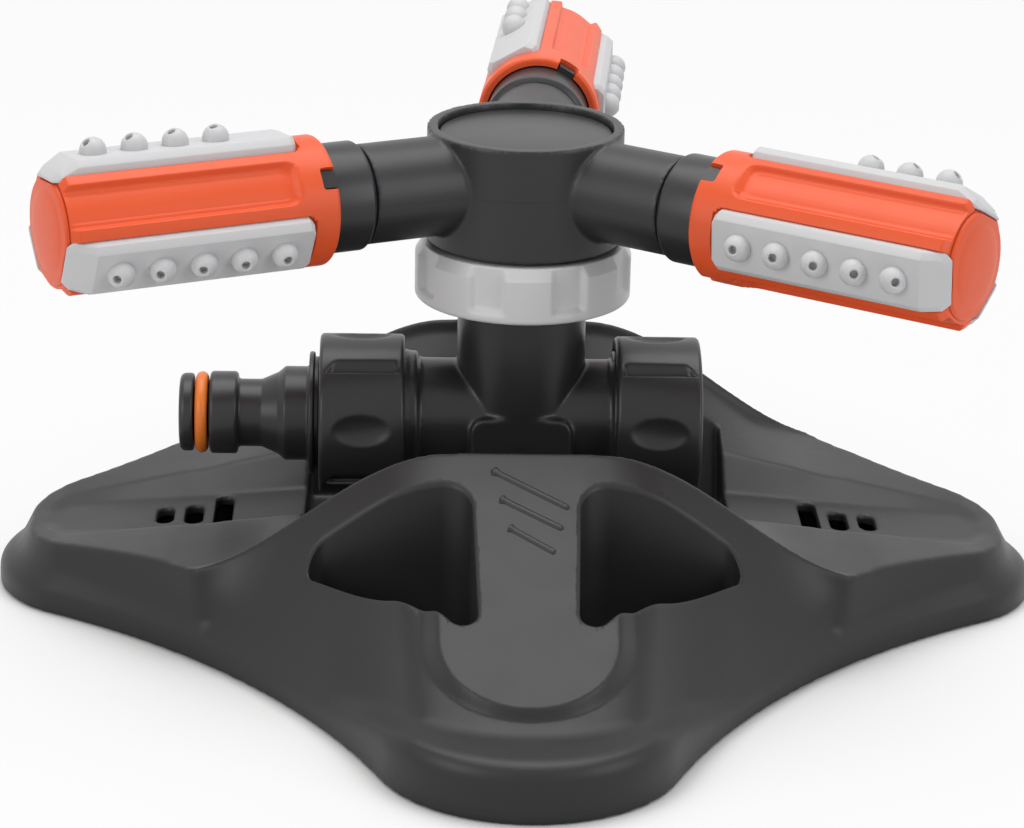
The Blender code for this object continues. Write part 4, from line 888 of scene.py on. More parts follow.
NIPPLE_TIP_R = 0.0078
# From the tip: the groove's two sides, the waist's two ends, the shoulder and the barrel
NIPPLE_RUNS = (0.0028, 0.0060, 0.0116, 0.0163, 0.0196, 0.0210)
NIPPLE_DISC_GAP = 0.0010
NIPPLE_DISC_WIDTH = 0.0011


class SPRINKLER_OT_tee(bpy.types.Operator):
    """Hose tube with its threaded stubs, the riser with its cup, and the foot on the pedestal"""

    bl_idname = "sprinkler.tee"
    bl_label = "Tee body"

    def execute(self, context):
        low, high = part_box("tee_body")
        flange_x = -INLET_SHOULDER_X + FLANGE_WIDTH
        tube = rounded(
            [
                (0.0, CAP_END_X),
                (THREAD_R, CAP_END_X, 0.0006),
                (THREAD_R, CAP_SHOULDER_X),
                (TUBE_R, CAP_SHOULDER_X, 0.0006),
                (TUBE_R, flange_x, 0.0006),
                (FLANGE_R, flange_x, 0.0008),
                (FLANGE_R, -INLET_SHOULDER_X, 0.0006),
                (THREAD_R, -INLET_SHOULDER_X),
                (THREAD_R, -INLET_END_X, 0.0006),
                (0.0, -INLET_END_X),
            ],
            closed=False,
        )
        lift = Matrix.Translation((0.0, 0.0, HOSE_AXIS_Z))
        tee = new_object("tee_moulding", moved(along_x(turned("tube", tube, 120)), lift))
        cup_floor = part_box("lower_thrust_washer")[0].z - CLEARANCE
        riser = stepped(high.z, (CUP_R, cup_floor - CUP_FLOOR_T), (RISER_R, HOSE_AXIS_Z - RISER_SINK))
        join(tee, turned("riser", riser, 120))
        half = BOSS_SIDE / 2.0
        boss = rounded(
            [
                (-half, low.z),
                (half, low.z),
                (half, HOSE_AXIS_Z + BOSS_RISE, 0.0028),
                (-half, HOSE_AXIS_Z + BOSS_RISE, 0.0028),
            ]
        )
        join(tee, moved(prism_mesh("boss", boss, -BOSS_HALF_Y, BOSS_HALF_Y), FRONT_VIEW))
        settled(tee)
        bore = stepped(CAP_END_X * 1.2, (HOSE_BORE_R, -INLET_END_X * 1.2))
        cut(tee, moved(along_x(turned("hose_bore", bore, 48)), lift))
        bore = stepped(high.z * 1.2, (CUP_BORE_R, cup_floor), (RISER_BORE_R, HOSE_AXIS_Z))
        cut(tee, turned("riser_bore", bore, 64))
        wall_end, point = (low.z + depth for depth in PILOT_DEPTH)
        for side in (1, -1):
            hole = ((0.0, point), (SCREW_HOLE_R, wall_end), (SCREW_HOLE_R, 0.0), (0.0, 0.0))
            cut(tee, moved(turned("pilot", hole, 24), Matrix.Translation((side * SCREW_SPREAD, 0.0, 0.0))))
        settled(tee)
        softened(tee, voxel=0.00042, passes=4, faces=120000)
        placed(tee, finishes()["fitting_plastic"], "stand", "tee_body", slot="black_fittings")
        return {"FINISHED"}


class SPRINKLER_OT_nipple(bpy.types.Operator):
    """Quick-connect hose nipple with its collar disc, and the orange ring in its groove"""

    bl_idname = "sprinkler.nipple"
    bl_label = "Hose nipple"

    def execute(self, context):
        tip = NIPPLE_LOW.x
        flange_end = NIPPLE_HIGH.x
        disc_end = NUT_LOW.x - NIPPLE_DISC_GAP
        disc_start = disc_end - NIPPLE_DISC_WIDTH
        flange_start = flange_end - NIPPLE_FLANGE_WIDTH
        step_end = NUT_LOW.x - 0.0001
        groove, bead, waist, cone, shoulder, barrel = (tip + run for run in NIPPLE_RUNS)
        corners = [
            (NIPPLE_BORE_R, tip, 0.0009),
            (NIPPLE_BORE_R, flange_end, 0.0003),
            (NIPPLE_FLANGE_R, flange_end, 0.0003),
            (NIPPLE_FLANGE_R, flange_start, 0.0003),
            (NIPPLE_NECK_R, flange_start),
            (NIPPLE_NECK_R, step_end),
            (NIPPLE_STEP_R, step_end, 0.0002),
            (NIPPLE_STEP_R, disc_end, 0.0001),
            (NIPPLE_DISC_R, disc_end, 0.0004),
            (NIPPLE_DISC_R, disc_start, 0.0004),
            (NIPPLE_BARREL_R, disc_start, 0.0007),
            (NIPPLE_BARREL_R, barrel, 0.0010),
            (NIPPLE_SHOULDER_R, shoulder, 0.0012),
            (NIPPLE_WAIST_R, cone, 0.0016),
            (NIPPLE_WAIST_R, waist, 0.0007),
            (NIPPLE_BEAD_R, waist, 0.0010),
            (NIPPLE_BEAD_R, bead, 0.0008),
            (NIPPLE_GROOVE_R, bead, 0.0004),
            (NIPPLE_GROOVE_R, groove, 0.0004),
            (NIPPLE_TIP_R, groove, 0.0006),
            (NIPPLE_TIP_R, tip, 0.0012),
        ]
        section = rounded(corners, steps=6)
        lift = Matrix.Translation((0.0, 0.0, HOSE_AXIS_Z))
        nipple = new_object("hose_nipple", moved(turned("hose_nipple", section, 96, axis="X"), lift))
        smoothed(nipple)
        placed(nipple, finishes()["fitting_plastic"], "stand", "hose_adaptor", slot="black_fittings")
        low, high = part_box("adaptor_o_ring")
        wire = (high.x - low.x) / 2.0
        centre = (high.z - low.z) / 2.0 - wire
        angles = np.linspace(0.0, 2.0 * math.pi, 20, endpoint=False)
        section = [(centre + wire * math.cos(a), (high.x + low.x) / 2.0 + wire * math.sin(a)) for a in angles]
        ring = new_object("nipple_ring", moved(turned("nipple_ring", section, 96, axis="X"), lift))
        ring.data.shade_smooth()
        placed(ring, finishes()["orange_rubber"], "stand", "adaptor_o_ring", slot="orange_seal")
        return {"FINISHED"}


NUT_ROUND = 0.0009
NUT_PITCH = 0.00045
NUT_HOLE_R = 0.0103
NUT_FACE_T = 0.0018
CAP_FACE_T = 0.0022
NUT_SKIN = (0.0012, 0.0002)
NUT_DIMPLE = (0.0113, 0.0062, 0.0011)
NUT_DIMPLE_TURN = 7.0
NUT_STEP_TURN = (49.0, 61.5)
NUT_STEP_DEPTH = 0.0011
NUT_STEP_SHARES = (0.75, 0.93)
NUT_STEP_MOUTH = (0.0013, 0.0019)
NUT_STEP_END = (0.0013, 0.0020)
NUT_STEP_SOFT = 0.0006
NUT_KNOTS = ((0.0, 48.0, 22), (48.0, 52.0, 14), (52.0, 90.0, 26))


def nut_form(radius, height, angle, outer_r, length):
    """Four oval dimples and four stepped grooves in a nut's outer face. Angles run up from the front."""
    psi = np.degrees(angle) % 90.0
    outer = ramp(radius, outer_r - NUT_SKIN[0], outer_r - NUT_SKIN[1])
    across = (height - length / 2.0) / (NUT_DIMPLE[0] / 2.0)
    from_dimple = ((psi - NUT_DIMPLE_TURN + 45.0) % 90.0 - 45.0) * math.pi / 180.0 * outer_r
    oval = np.clip(1.0 - across**2 - (from_dimple / (NUT_DIMPLE[1] / 2.0)) ** 2, 0.0, 1.0)
    dimple = NUT_DIMPLE[2] * oval**0.75
    start, end = NUT_STEP_TURN
    share = np.clip((end - psi) / (end - start), 0.0, 1.0)
    slope = ramp(share, 0.0, NUT_STEP_SHARES[0]) * (1.0 - ramp(share, NUT_STEP_SHARES[1], 1.0))
    side = NUT_STEP_END[0] + NUT_STEP_END[1] * (1.0 - share)
    window = ramp(height, *NUT_STEP_MOUTH) * (1.0 - ramp(height, length - side - NUT_STEP_SOFT, length - side))
    step = NUT_STEP_DEPTH * slope * window
    return radius - outer * (dimple + step), height


def nut_angles():
    """Turns round a nut, closer together at the sharp edge of each groove."""
    quarter = spaced(NUT_KNOTS)
    return np.radians(np.concatenate([quarter + 90.0 * k for k in range(4)]))


class SPRINKLER_OT_nuts(bpy.types.Operator):
    """Union nut of the hose inlet and the closed cap at the other end"""

    bl_idname = "sprinkler.nuts"
    bl_label = "Union nut and end cap"

    def execute(self, context):
        cavity = THREAD_R + CLEARANCE
        for node, name, body, side, hole, face in (
            ("inlet_nut", "union_nut", "inlet_union", -1.0, NUT_HOLE_R, NUT_FACE_T),
            ("end_cap", "closed_cap", "cap", 1.0, 0.0, CAP_FACE_T),
        ):
            low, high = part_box(node)
            mouth = -high.x if side < 0.0 else low.x
            length = high.x - low.x
            outer_r = (high.y - low.y) / 2.0
            corners = [
                (outer_r, length, NUT_ROUND),
                (outer_r, 0.0, NUT_ROUND),
                (cavity, 0.0, 0.0005),
                (cavity, length - face),
            ]
            if hole:
                corners += [(hole, length - face), (hole, length, 0.0005)]
                section = refined(rounded(corners), NUT_PITCH)
            else:
                corners = [(0.0, length)] + corners + [(0.0, length - face)]
                section = refined(rounded(corners, closed=False), NUT_PITCH, closed=False)
            form = lambda r, h, a: nut_form(r, h, a, outer_r, length)
            mesh = turned(name, section, nut_angles(), form)
            # The nut's height runs outwards along the hose, and its angles run from -Y up to +Z
            to_hose = Matrix(((0, 0, side, side * mouth), (-1, 0, 0, 0), (0, 1, 0, HOSE_AXIS_Z), (0, 0, 0, 1)))
            nut = smoothed(new_object(name, moved(mesh, to_hose)), angle=60.0)
            placed(nut, finishes()["fitting_plastic"], body, node, slot="black_fittings")
        return {"FINISHED"}


# Lock ring

LOCK_NOTCHES = 8
LOCK_NOTCH_TURN = 24.0
LOCK_NOTCH_HALF = 0.0029
LOCK_NOTCH_SIDE = 0.0010
LOCK_NOTCH_DEPTH = 0.0013
LOCK_CHAMFER = (0.0014, 0.0023)
LOCK_SILL = 0.0024
LOCK_LIP_R = 0.0096
LOCK_LIP_T = 0.0036


def lock_ring_form(radius, height, angle):
    """Flat-bottomed notches with sloping walls, open at the top of the ring."""
    outer_r = (RING_HIGH.y - RING_LOW.y) / 2.0
    pitch = 360.0 / LOCK_NOTCHES
    off = np.abs((np.degrees(angle) - LOCK_NOTCH_TURN + pitch / 2.0) % pitch - pitch / 2.0)
    lateral = off * math.pi / 180.0 * outer_r
    across = 1.0 - ramp(lateral, LOCK_NOTCH_HALF, LOCK_NOTCH_HALF + LOCK_NOTCH_SIDE)
    sill = RING_LOW.z + LOCK_SILL
    upward = ramp(height, sill - 0.0008, sill + 0.0003)
    floor = outer_r - LOCK_NOTCH_DEPTH
    sunk = np.minimum(radius, blend(radius, floor, across * upward))
    return np.where(radius > floor - 0.0006, sunk, radius), height


class SPRINKLER_OT_lock_ring(bpy.types.Operator):
    """Light grey lock ring with eight notches that keeps the rotor on the riser"""

    bl_idname = "sprinkler.lock_ring"
    bl_label = "Lock ring"

    def execute(self, context):
        outer_r = (RING_HIGH.y - RING_LOW.y) / 2.0
        bore, seat = CUP_R + CLEARANCE, RING_HIGH.z - LOCK_LIP_T
        corners = [
            (outer_r - LOCK_CHAMFER[0], RING_HIGH.z, 0.0003),
            (outer_r, RING_HIGH.z - LOCK_CHAMFER[1], 0.0004),
            (outer_r, RING_LOW.z, 0.0008),
            (bore, RING_LOW.z, 0.0003),
            (bore, seat),
            (LOCK_LIP_R, seat),
            (LOCK_LIP_R, RING_HIGH.z),
        ]
        section = refined(rounded(corners), 0.0004)
        mesh = turned("grey_lock_ring", section, 320, lock_ring_form)
        ring = smoothed(new_object("grey_lock_ring", mesh), angle=50.0)
        placed(ring, finishes()["ring_plastic"], "ring", "lock_ring", slot="light_ring")
        return {"FINISHED"}


# Rotor

HUB_R = 0.0193
HUB_HEIGHT = 0.0226
HUB_RIM_RISE = 0.0012
HUB_TOP_Z = COVER_HIGH.z + HUB_RIM_RISE
HUB_FOOT_Z = HUB_TOP_Z - HUB_HEIGHT
HUB_FLOOR_T = 0.0043
HUB_CHAMBER_R = 0.0120
HUB_COVER_R = 0.0169
ARM_TUBE_R = 0.0097
ARM_BORE_R = 0.0050
ARM_BORE_START = 0.0062
ARM_TUBE_END = 0.0358
SPIGOT_R = 0.0084
SPIGOT_LEN = 0.0140
SPIGOT_RING_S = ARM_TUBE_END + 0.0052
SPIGOT_GROOVE_R = 0.0063
SPIGOT_GROOVE_HALF = 0.0012
SNAP_GROOVE_S = ARM_TUBE_END + 0.0109
SNAP_GROOVE_LEN = 0.0021
SNAP_GROOVE_R = 0.0071
SPINDLE_SOCKET_R = 0.0093


def arm_matrix(side):
    """From a mesh along +X to that arm, its origin on the rotor's axis."""
    arm = ARMS[side]
    return Matrix.Translation((0.0, 0.0, ARM_AXIS_Z)) @ Matrix.Rotation(math.atan2(arm.y, arm.x), 4, "Z")


class SPRINKLER_OT_rotor(bpy.types.Operator):
    """Hub drum with its three arm tubes, and the cover let into its top"""

    bl_idname = "sprinkler.rotor"
    bl_label = "Rotor"

    def execute(self, context):
        rotor = new_object("rotor_moulding", turned("drum", stepped(HUB_TOP_Z, (HUB_R, HUB_FOOT_Z)), 144))
        spigot_end = ARM_TUBE_END + SPIGOT_LEN
        arm = stepped(
            spigot_end,
            (SPIGOT_R, SNAP_GROOVE_S + SNAP_GROOVE_LEN),
            (SNAP_GROOVE_R, SNAP_GROOVE_S),
            (SPIGOT_R, SPIGOT_RING_S + SPIGOT_GROOVE_HALF),
            (SPIGOT_GROOVE_R, SPIGOT_RING_S - SPIGOT_GROOVE_HALF),
            (SPIGOT_R, ARM_TUBE_END),
            (ARM_TUBE_R, HUB_R * 0.6),
        )
        for side in SIDES:
            join(rotor, moved(turned("arm", arm, 96, axis="X"), arm_matrix(side)))
        settled(rotor)
        recess = COVER_LOW.z - CLEARANCE
        hollow = stepped(
            HUB_TOP_Z * 1.1,
            (HUB_COVER_R + CLEARANCE, recess),
            (HUB_CHAMBER_R, HUB_FOOT_Z + HUB_FLOOR_T),
            (SPINDLE_SOCKET_R, HUB_FOOT_Z * 0.9),
        )
        cut(rotor, turned("hollow", hollow, 120))
        bore = stepped(spigot_end * 1.2, (ARM_BORE_R, ARM_BORE_START))
        for side in SIDES:
            cut(rotor, moved(turned("bore", bore, 40, axis="X"), arm_matrix(side)))
        settled(rotor)
        softened(rotor, voxel=0.0004, passes=3, faces=150000)
        placed(rotor, finishes()["rotor_plastic"], "rotor", "rotor_body", slot="black_fittings")
        corners = [
            (0.0, COVER_HIGH.z),
            (HUB_COVER_R, COVER_HIGH.z, 0.0003),
            (HUB_COVER_R, COVER_LOW.z, 0.0002),
            (0.0, COVER_LOW.z),
        ]
        section = rounded(corners, closed=False)
        cover = smoothed(new_object("hub_disc", turned("hub_disc", section, 128)))
        placed(cover, finishes()["fitting_plastic"], "rotor", "hub_cover", slot="black_fittings")
        return {"FINISHED"}


# Nozzle heads, modelled along +X with their first strip on +Z

HEAD_R = 0.0126
HEAD_KNOTS = (
    (0.0, 24.0, 5),
    (24.0, 31.0, 16),
    (31.0, 36.0, 4),
    (36.0, 43.0, 14),
    (43.0, 49.6, 5),
    (49.6, 50.8, 6),
    (50.8, 60.0, 5),
)
RING_START = 0.0447
RING_END = 0.0502
SHELL_END = 0.0979
SHELL_END_R = 0.0112
CAP_R = 0.0103
CAP_END = 0.0993
CAP_RIM_DROP = 0.0006
CAP_PLUG_LEN = 0.0050
DOME_R = 0.0082
DOME_RISE = 0.0008
COLLAR_START = ARM_TUBE_END + CLEARANCE
COLLAR_END = 0.0500
COLLAR_R = 0.0106
LUG_R = 0.0117
LUG_WIDTH = 0.0034
LUG_SINK = 0.0008
NOTCH_WIDTH = 0.0044
NOTCH_LEN = 0.0032
NOTCH_CORNER = 0.0006
MOUTH_R = COLLAR_R + CLEARANCE
SHELL_BORE_R = 0.0074
SEAT_HALF = 0.0059
SEAT_DEPTH = 0.0094
SEAT_EDGE = (0.00005, 0.00022)
SEAT_STEP = (0.00025, 0.00015)
GROOVE_R = 0.0110
GROOVE_HALF = 0.0043
GROOVE_START = 0.0528
GROOVE_CORNER = 0.0022
# A groove's two walls: the share of its depth, and where the wall starts and ends past its edge
GROOVE_WALLS = ((0.80, -0.0003, 0.0003), (0.20, -0.0012, -0.0010))
STRIP_START = 0.0505
STRIP_END = 0.0988
STRIP_FOOT = 0.0097
STRIP_TOP = 0.0136
NOZZLE_LIFT = 0.0005
NOZZLE_HOLE_DEPTH = 0.0017
NOZZLE_RIM = 0.00035
NOZZLE_TILT = 5.0
NOZZLE_TILT_STEP = 9.0
NOZZLE_LEANS = {"left": (9.0, -9.0, 0.0), "right": (-9.0, 0.0, 9.0), "rear": (0.0, 0.0, 0.0)}
STRIP_HALF = 0.0058
STRIP_TOP_HALF = 0.0046
STRIP_COUNT = 3
STRIP_PITCH = 120.0
STRIP_CORNER = 0.0010
STRIP_BEVEL = 0.00022
STRIP_BEVEL_ANGLE = 12.0


def head_matrix(side):
    """From a mesh along +X, its first strip on +Z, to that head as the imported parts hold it."""
    node = frame["nodes"][side + "_nozzle_strip_1"]
    centre = sum((v.co for v in node.data.vertices), Vector()) / len(node.data.vertices)
    arm = ARMS[side]
    origin = Vector((0.0, 0.0, ARM_AXIS_Z))
    up = centre - origin
    up = (up - arm * up.dot(arm)).normalized()
    over = up.cross(arm)
    matrix = Matrix((arm, over, up)).transposed().to_4x4()
    matrix.translation = origin
    return matrix


def third_angles():
    """Turns round a head, closer together at the walls of the strip seats, grooves and notches."""
    half = spaced(HEAD_KNOTS)
    third = np.sort(np.concatenate((half, STRIP_PITCH - half[:0:-1], [60.0])))
    return np.radians(np.concatenate([third + STRIP_PITCH * k for k in range(STRIP_COUNT)]))


def from_strip(angle):
    """Angle from the nearest strip's middle, in degrees from 0 to 60."""
    return np.abs((np.degrees(angle) + STRIP_PITCH / 2.0) % STRIP_PITCH - STRIP_PITCH / 2.0)


def shell_form(radius, height, angle):
    """Strip seats, finger grooves and the notches of the ring in the orange shell."""
    off = np.radians(from_strip(angle))
    outer = radius > MOUTH_R + 0.0001
    lateral = HEAD_R * np.sin(off)
    corner = np.clip(STRIP_CORNER - (height - RING_END), 0.0, STRIP_CORNER)
    wall = SEAT_HALF - corner
    seat_share = 1.0 - ramp(lateral, wall - SEAT_EDGE[0], wall + SEAT_EDGE[1])
    seat_share = seat_share * ramp(height, RING_END - SEAT_STEP[0], RING_END + SEAT_STEP[1])
    seat = np.minimum(radius, SEAT_DEPTH / np.cos(off))
    web = np.abs(off - math.pi / 3.0) * HEAD_R
    side = web - (GROOVE_HALF - GROOVE_CORNER)
    end = GROOVE_START + GROOVE_CORNER - height
    inside = np.hypot(np.maximum(side, 0.0), np.maximum(end, 0.0)) - GROOVE_CORNER
    inside = inside + np.minimum(np.maximum(side, end), 0.0)
    groove_share = sum(share * (1.0 - ramp(inside, start, end)) for share, start, end in GROOVE_WALLS)
    carved = blend(radius, np.minimum(radius, GROOVE_R), groove_share)
    carved = np.minimum(carved, blend(radius, seat, seat_share))
    radius = np.where(outer, carved, radius)
    half = NOTCH_WIDTH / 2.0
    rounding = np.clip(web - (half - NOTCH_CORNER), 0.0, NOTCH_CORNER)
    notch = RING_START + NOTCH_LEN - NOTCH_CORNER + np.sqrt(NOTCH_CORNER**2 - rounding**2)
    return radius, np.where(web < half, np.maximum(height, notch), height)


def shell_mesh():
    """Orange shell: notched ring, three grooved webs and a rounded outer end."""
    outer = [
        (MOUTH_R, RING_START, 0.0003),
        (HEAD_R, RING_START, 0.0009),
        (HEAD_R, SHELL_END - 0.0010, 0.0009),
        (SHELL_END_R, SHELL_END, 0.0005),
        (SHELL_BORE_R, SHELL_END),
    ]
    inner = [
        (SHELL_BORE_R, COLLAR_END + CLEARANCE),
        (MOUTH_R, COLLAR_END + CLEARANCE),
        (MOUTH_R, RING_START + NOTCH_LEN),
    ]
    fine = refined(rounded(outer, closed=False, steps=6), 0.0006, closed=False)
    return turned("shell", fine + inner, third_angles(), shell_form, axis="X")


def cap_form(radius, height, angle):
    """Cuts the rim of the end disc back where the strips run past it."""
    off = np.radians(from_strip(angle))
    limit = (SEAT_DEPTH - 0.0001) / np.cos(off)
    share = 1.0 - ramp(HEAD_R * np.sin(off), SEAT_HALF - 0.0008, SEAT_HALF - 0.0002)
    return np.where(radius > SHELL_BORE_R, np.minimum(radius, blend(radius, limit, share)), radius), height


def cap_mesh():
    """Orange end disc with a rounded rim, notched at the strips, and a shallow dome."""
    seat = SHELL_END + CLEARANCE * 0.5
    plug = SHELL_BORE_R - CLEARANCE
    edge, foot = CAP_END - CAP_RIM_DROP, seat - CAP_PLUG_LEN
    dome = [(DOME_R * math.sin(a), edge + DOME_RISE * math.cos(a)) for a in np.linspace(0.0, 1.3, 12)]
    rim = [dome[-1], (CAP_R - 0.0003, edge, 0.0005), (CAP_R, seat), (plug, seat), (plug, foot)]
    section = dome[:-1] + rounded(rim, closed=False) + [(0.0, foot)]
    return turned("cap", refined(section, 0.0006, closed=False), third_angles(), cap_form, axis="X")


def collar_mesh():
    """Black swivel collar that snaps over the arm's spigot and carries the shell."""
    bore, lip = SPIGOT_R + CLEARANCE, SNAP_GROOVE_R + CLEARANCE
    corners = [
        (COLLAR_R, COLLAR_END, 0.0004),
        (COLLAR_R, COLLAR_START + 0.0008, 0.0006),
        (COLLAR_R - 0.0010, COLLAR_START, 0.0004),
        (bore, COLLAR_START, 0.0002),
        (bore, SNAP_GROOVE_S + CLEARANCE),
        (lip, SNAP_GROOVE_S + CLEARANCE),
        (lip, SNAP_GROOVE_S + SNAP_GROOVE_LEN - CLEARANCE),
        (bore, SNAP_GROOVE_S + SNAP_GROOVE_LEN - CLEARANCE),
        (bore, COLLAR_END),
    ]
    return turned("collar", rounded(corners, steps=5), 96, axis="X")


def strip_mesh():
    """Body of a nozzle strip on +Z: a bevelled bar with a sloping outer end."""

    def section(s, top, narrow=0.0):
        wide, top_wide = STRIP_HALF - narrow, STRIP_TOP_HALF - narrow
        shoulder = max((STRIP_FOOT + top) / 2.0, top - 0.0013)
        right = [(s, wide, STRIP_FOOT), (s, wide, shoulder), (s, top_wide, top)]
        return right + [(s, -y, z) for s, y, z in right[::-1]]

    sections = [
        section(STRIP_START, STRIP_TOP - 0.0002, STRIP_CORNER),
        section(STRIP_START + STRIP_CORNER, STRIP_TOP),
        section(STRIP_END - 0.0048, STRIP_TOP),
        section(STRIP_END - 0.0014, STRIP_FOOT + 0.0018, 0.0002),
        section(STRIP_END, STRIP_FOOT + 0.0005, 0.0016),
    ]
    strip = new_object("strip", lofted_mesh("strip", sections))
    bevel = strip.modifiers.new("Rounded edges", "BEVEL")
    bevel.width = STRIP_BEVEL
    bevel.segments = 3
    bevel.limit_method = "ANGLE"
    bevel.angle_limit = math.radians(STRIP_BEVEL_ANGLE)
    return mesh_of(strip)


def nozzle_mesh(radius, hole_r):
    """A ball whose crown is drilled, about its own centre, with the hole along +Z."""
    crown = math.asin((hole_r + NOZZLE_RIM) / radius)
    ball = [(radius * math.sin(a), radius * math.cos(a)) for a in np.linspace(crown, math.pi, 26)]
    rim = radius * math.cos(crown)
    floor = rim - NOZZLE_HOLE_DEPTH
    hole = [(0.0, floor), (hole_r * 0.98, floor), (hole_r, rim - 0.0002), (hole_r + 0.00013, rim - 0.00002)]
    ball[-1] = (0.0, -radius)
    return turned("nozzle", hole + ball, 40)


def copies_tree(name, shape, inputs, layout):
    """Nodes that join copies of a shape to a piece. layout gives the points and the turn of each copy."""
    tree = bpy.data.node_groups.new(name, "GeometryNodeTree")
    face = tree.interface
    face.new_socket("Geometry", in_out="OUTPUT", socket_type="NodeSocketGeometry")
    for label, kind in (("Geometry", "Geometry"), (shape, "Object"), *inputs, ("Finish", "Material")):
        face.new_socket(label, in_out="INPUT", socket_type="NodeSocket" + kind)
    bench = Bench(tree)
    given = bench.add("NodeGroupInput").socket.node

    def wire(label):
        return Wire(bench, given.outputs[label])

    points, turn = layout(bench, wire, bench.add("GeometryNodeInputIndex"))
    source = bench.add("GeometryNodeObjectInfo", {}, {"Object": wire(shape)}, "Geometry")
    copies = bench.add("GeometryNodeInstanceOnPoints", {}, {"Points": points, "Instance": source, "Rotation": turn})
    joined = bench.add("GeometryNodeJoinGeometry", {}, {"Geometry": wire("Geometry")})
    tree.links.new(copies.socket, joined.socket.node.inputs["Geometry"])
    real = bench.add("GeometryNodeRealizeInstances", {}, {"Geometry": joined})
    final = bench.add("GeometryNodeSetMaterial", {}, {"Geometry": real, "Material": wire("Finish")})
    bench.add("NodeGroupOutput", {}, {"Geometry": final})
    return tree


def nozzle_row(bench, wire, index):
    """A row of domes on a strip, each tilted further outwards than the last."""
    step = bench.add("ShaderNodeCombineXYZ", {}, {"X": wire("Pitch")})
    row = {"Count": wire("Count"), "Start Location": wire("First"), "Offset": step}
    tilt = wire("Inner tilt") + index * wire("Tilt step")
    turn = bench.add("ShaderNodeCombineXYZ", {}, {"X": wire("Lean"), "Y": tilt})
    return bench.add("GeometryNodeMeshLine", {"mode": "OFFSET"}, row), turn


def round_axis(bench, wire, index):
    """Places on the X axis itself, each turned further round it than the last."""
    turn = bench.add("ShaderNodeCombineXYZ", {}, {"X": wire("First turn") + index * wire("Turn")})
    return bench.add("GeometryNodePoints", {}, {"Count": wire("Count")}), turn


NOZZLE_ROW_INPUTS = (
    ("Count", "Int"),
    ("First", "Vector"),
    ("Pitch", "Float"),
    ("Inner tilt", "Float"),
    ("Tilt step", "Float"),
    ("Lean", "Float"),
)
ROUND_AXIS_INPUTS = (("Count", "Int"), ("First turn", "Float"), ("Turn", "Float"))


def with_nodes(name, mesh, tree, values):
    """A new object whose mesh is what the tree makes of a mesh, with its inputs set by identifier."""
    piece = new_object(name, mesh)
    nodes = piece.modifiers.new(tree.name, "NODES")
    nodes.node_group = tree
    idents = {item.name: item.identifier for item in tree.interface.items_tree if item.in_out == "INPUT"}
    for label, value in values.items():
        nodes[idents[label]] = value
    return settled(piece)


class SPRINKLER_OT_heads(bpy.types.Operator):
    """The three nozzle heads: swivel collar, orange shell and disc, and three nozzle strips each"""

    bl_idname = "sprinkler.heads"
    bl_label = "Nozzle heads"

    def execute(self, context):
        sizes = context.scene.sprinkler_pale
        made = finishes()
        shell, cap, collar, strip = shell_mesh(), cap_mesh(), collar_mesh(), strip_mesh()
        nozzle = new_object("nozzle_pattern", nozzle_mesh(sizes.nozzle_radius, sizes.nozzle_hole_radius))
        smoothed(nozzle, angle=50.0)
        half = LUG_WIDTH / 2.0
        lug_low = (RING_START, -half, COLLAR_R - LUG_SINK)
        lug_high = (RING_START + NOTCH_LEN - CLEARANCE, half, LUG_R)
        lug = new_object("lug_pattern", box_mesh("lug", lug_low, lug_high))
        row = copies_tree("nozzle_row", "Nozzle", NOZZLE_ROW_INPUTS, nozzle_row)
        ring = copies_tree("copies_round_axis", "Shape", ROUND_AXIS_INPUTS, round_axis)
        for side in SIDES:
            place = head_matrix(side)
            body = side + "_head"
            values = {
                "Shape": lug,
                "Count": STRIP_COUNT,
                "First turn": math.radians(STRIP_PITCH / 2.0),
                "Turn": math.radians(STRIP_PITCH),
                "Finish": made["fitting_plastic"],
            }
            piece = with_nodes(side + "_collar", collar.copy(), ring, values)
            moved(piece.data, place)
            smoothed(piece)
            placed(piece, made["fitting_plastic"], body, side + "_swivel_collar", slot="black_fittings")
            for label, mesh, node in (("orange_shell", shell, "head_shell"), ("orange_disc", cap, "head_cap")):
                piece = new_object(f"{side}_{label}", moved(mesh.copy(), place))
                smoothed(piece, angle=55.0)
                placed(piece, made["orange_plastic"], body, f"{side}_{node}", slot="orange")
            for k in range(STRIP_COUNT):
                first = STRIP_START + sizes.nozzle_first + k * sizes.nozzle_pitch
                values = {
                    "Nozzle": nozzle,
                    "Count": sizes.nozzle_places - k,
                    "First": (first, 0.0, STRIP_TOP + NOZZLE_LIFT),
                    "Pitch": sizes.nozzle_pitch,
                    "Inner tilt": math.radians(NOZZLE_TILT + NOZZLE_TILT_STEP * k),
                    "Tilt step": math.radians(NOZZLE_TILT_STEP),
                    "Lean": math.radians(NOZZLE_LEANS[side][k]),
                    "Finish": made["nozzle_rubber"],
                }
                piece = with_nodes(f"{side}_strip_{k + 1}", strip.copy(), row, values)
                moved(piece.data, place @ Matrix.Rotation(math.radians(STRIP_PITCH * k), 4, "X"))
                smoothed(piece, angle=30.0)
                placed(piece, made["nozzle_rubber"], body, f"{side}_nozzle_strip_{k + 1}", slot="nozzles")
        for pattern in (nozzle, lug):
            bpy.data.objects.remove(pattern, do_unlink=True)
        return {"FINISHED"}


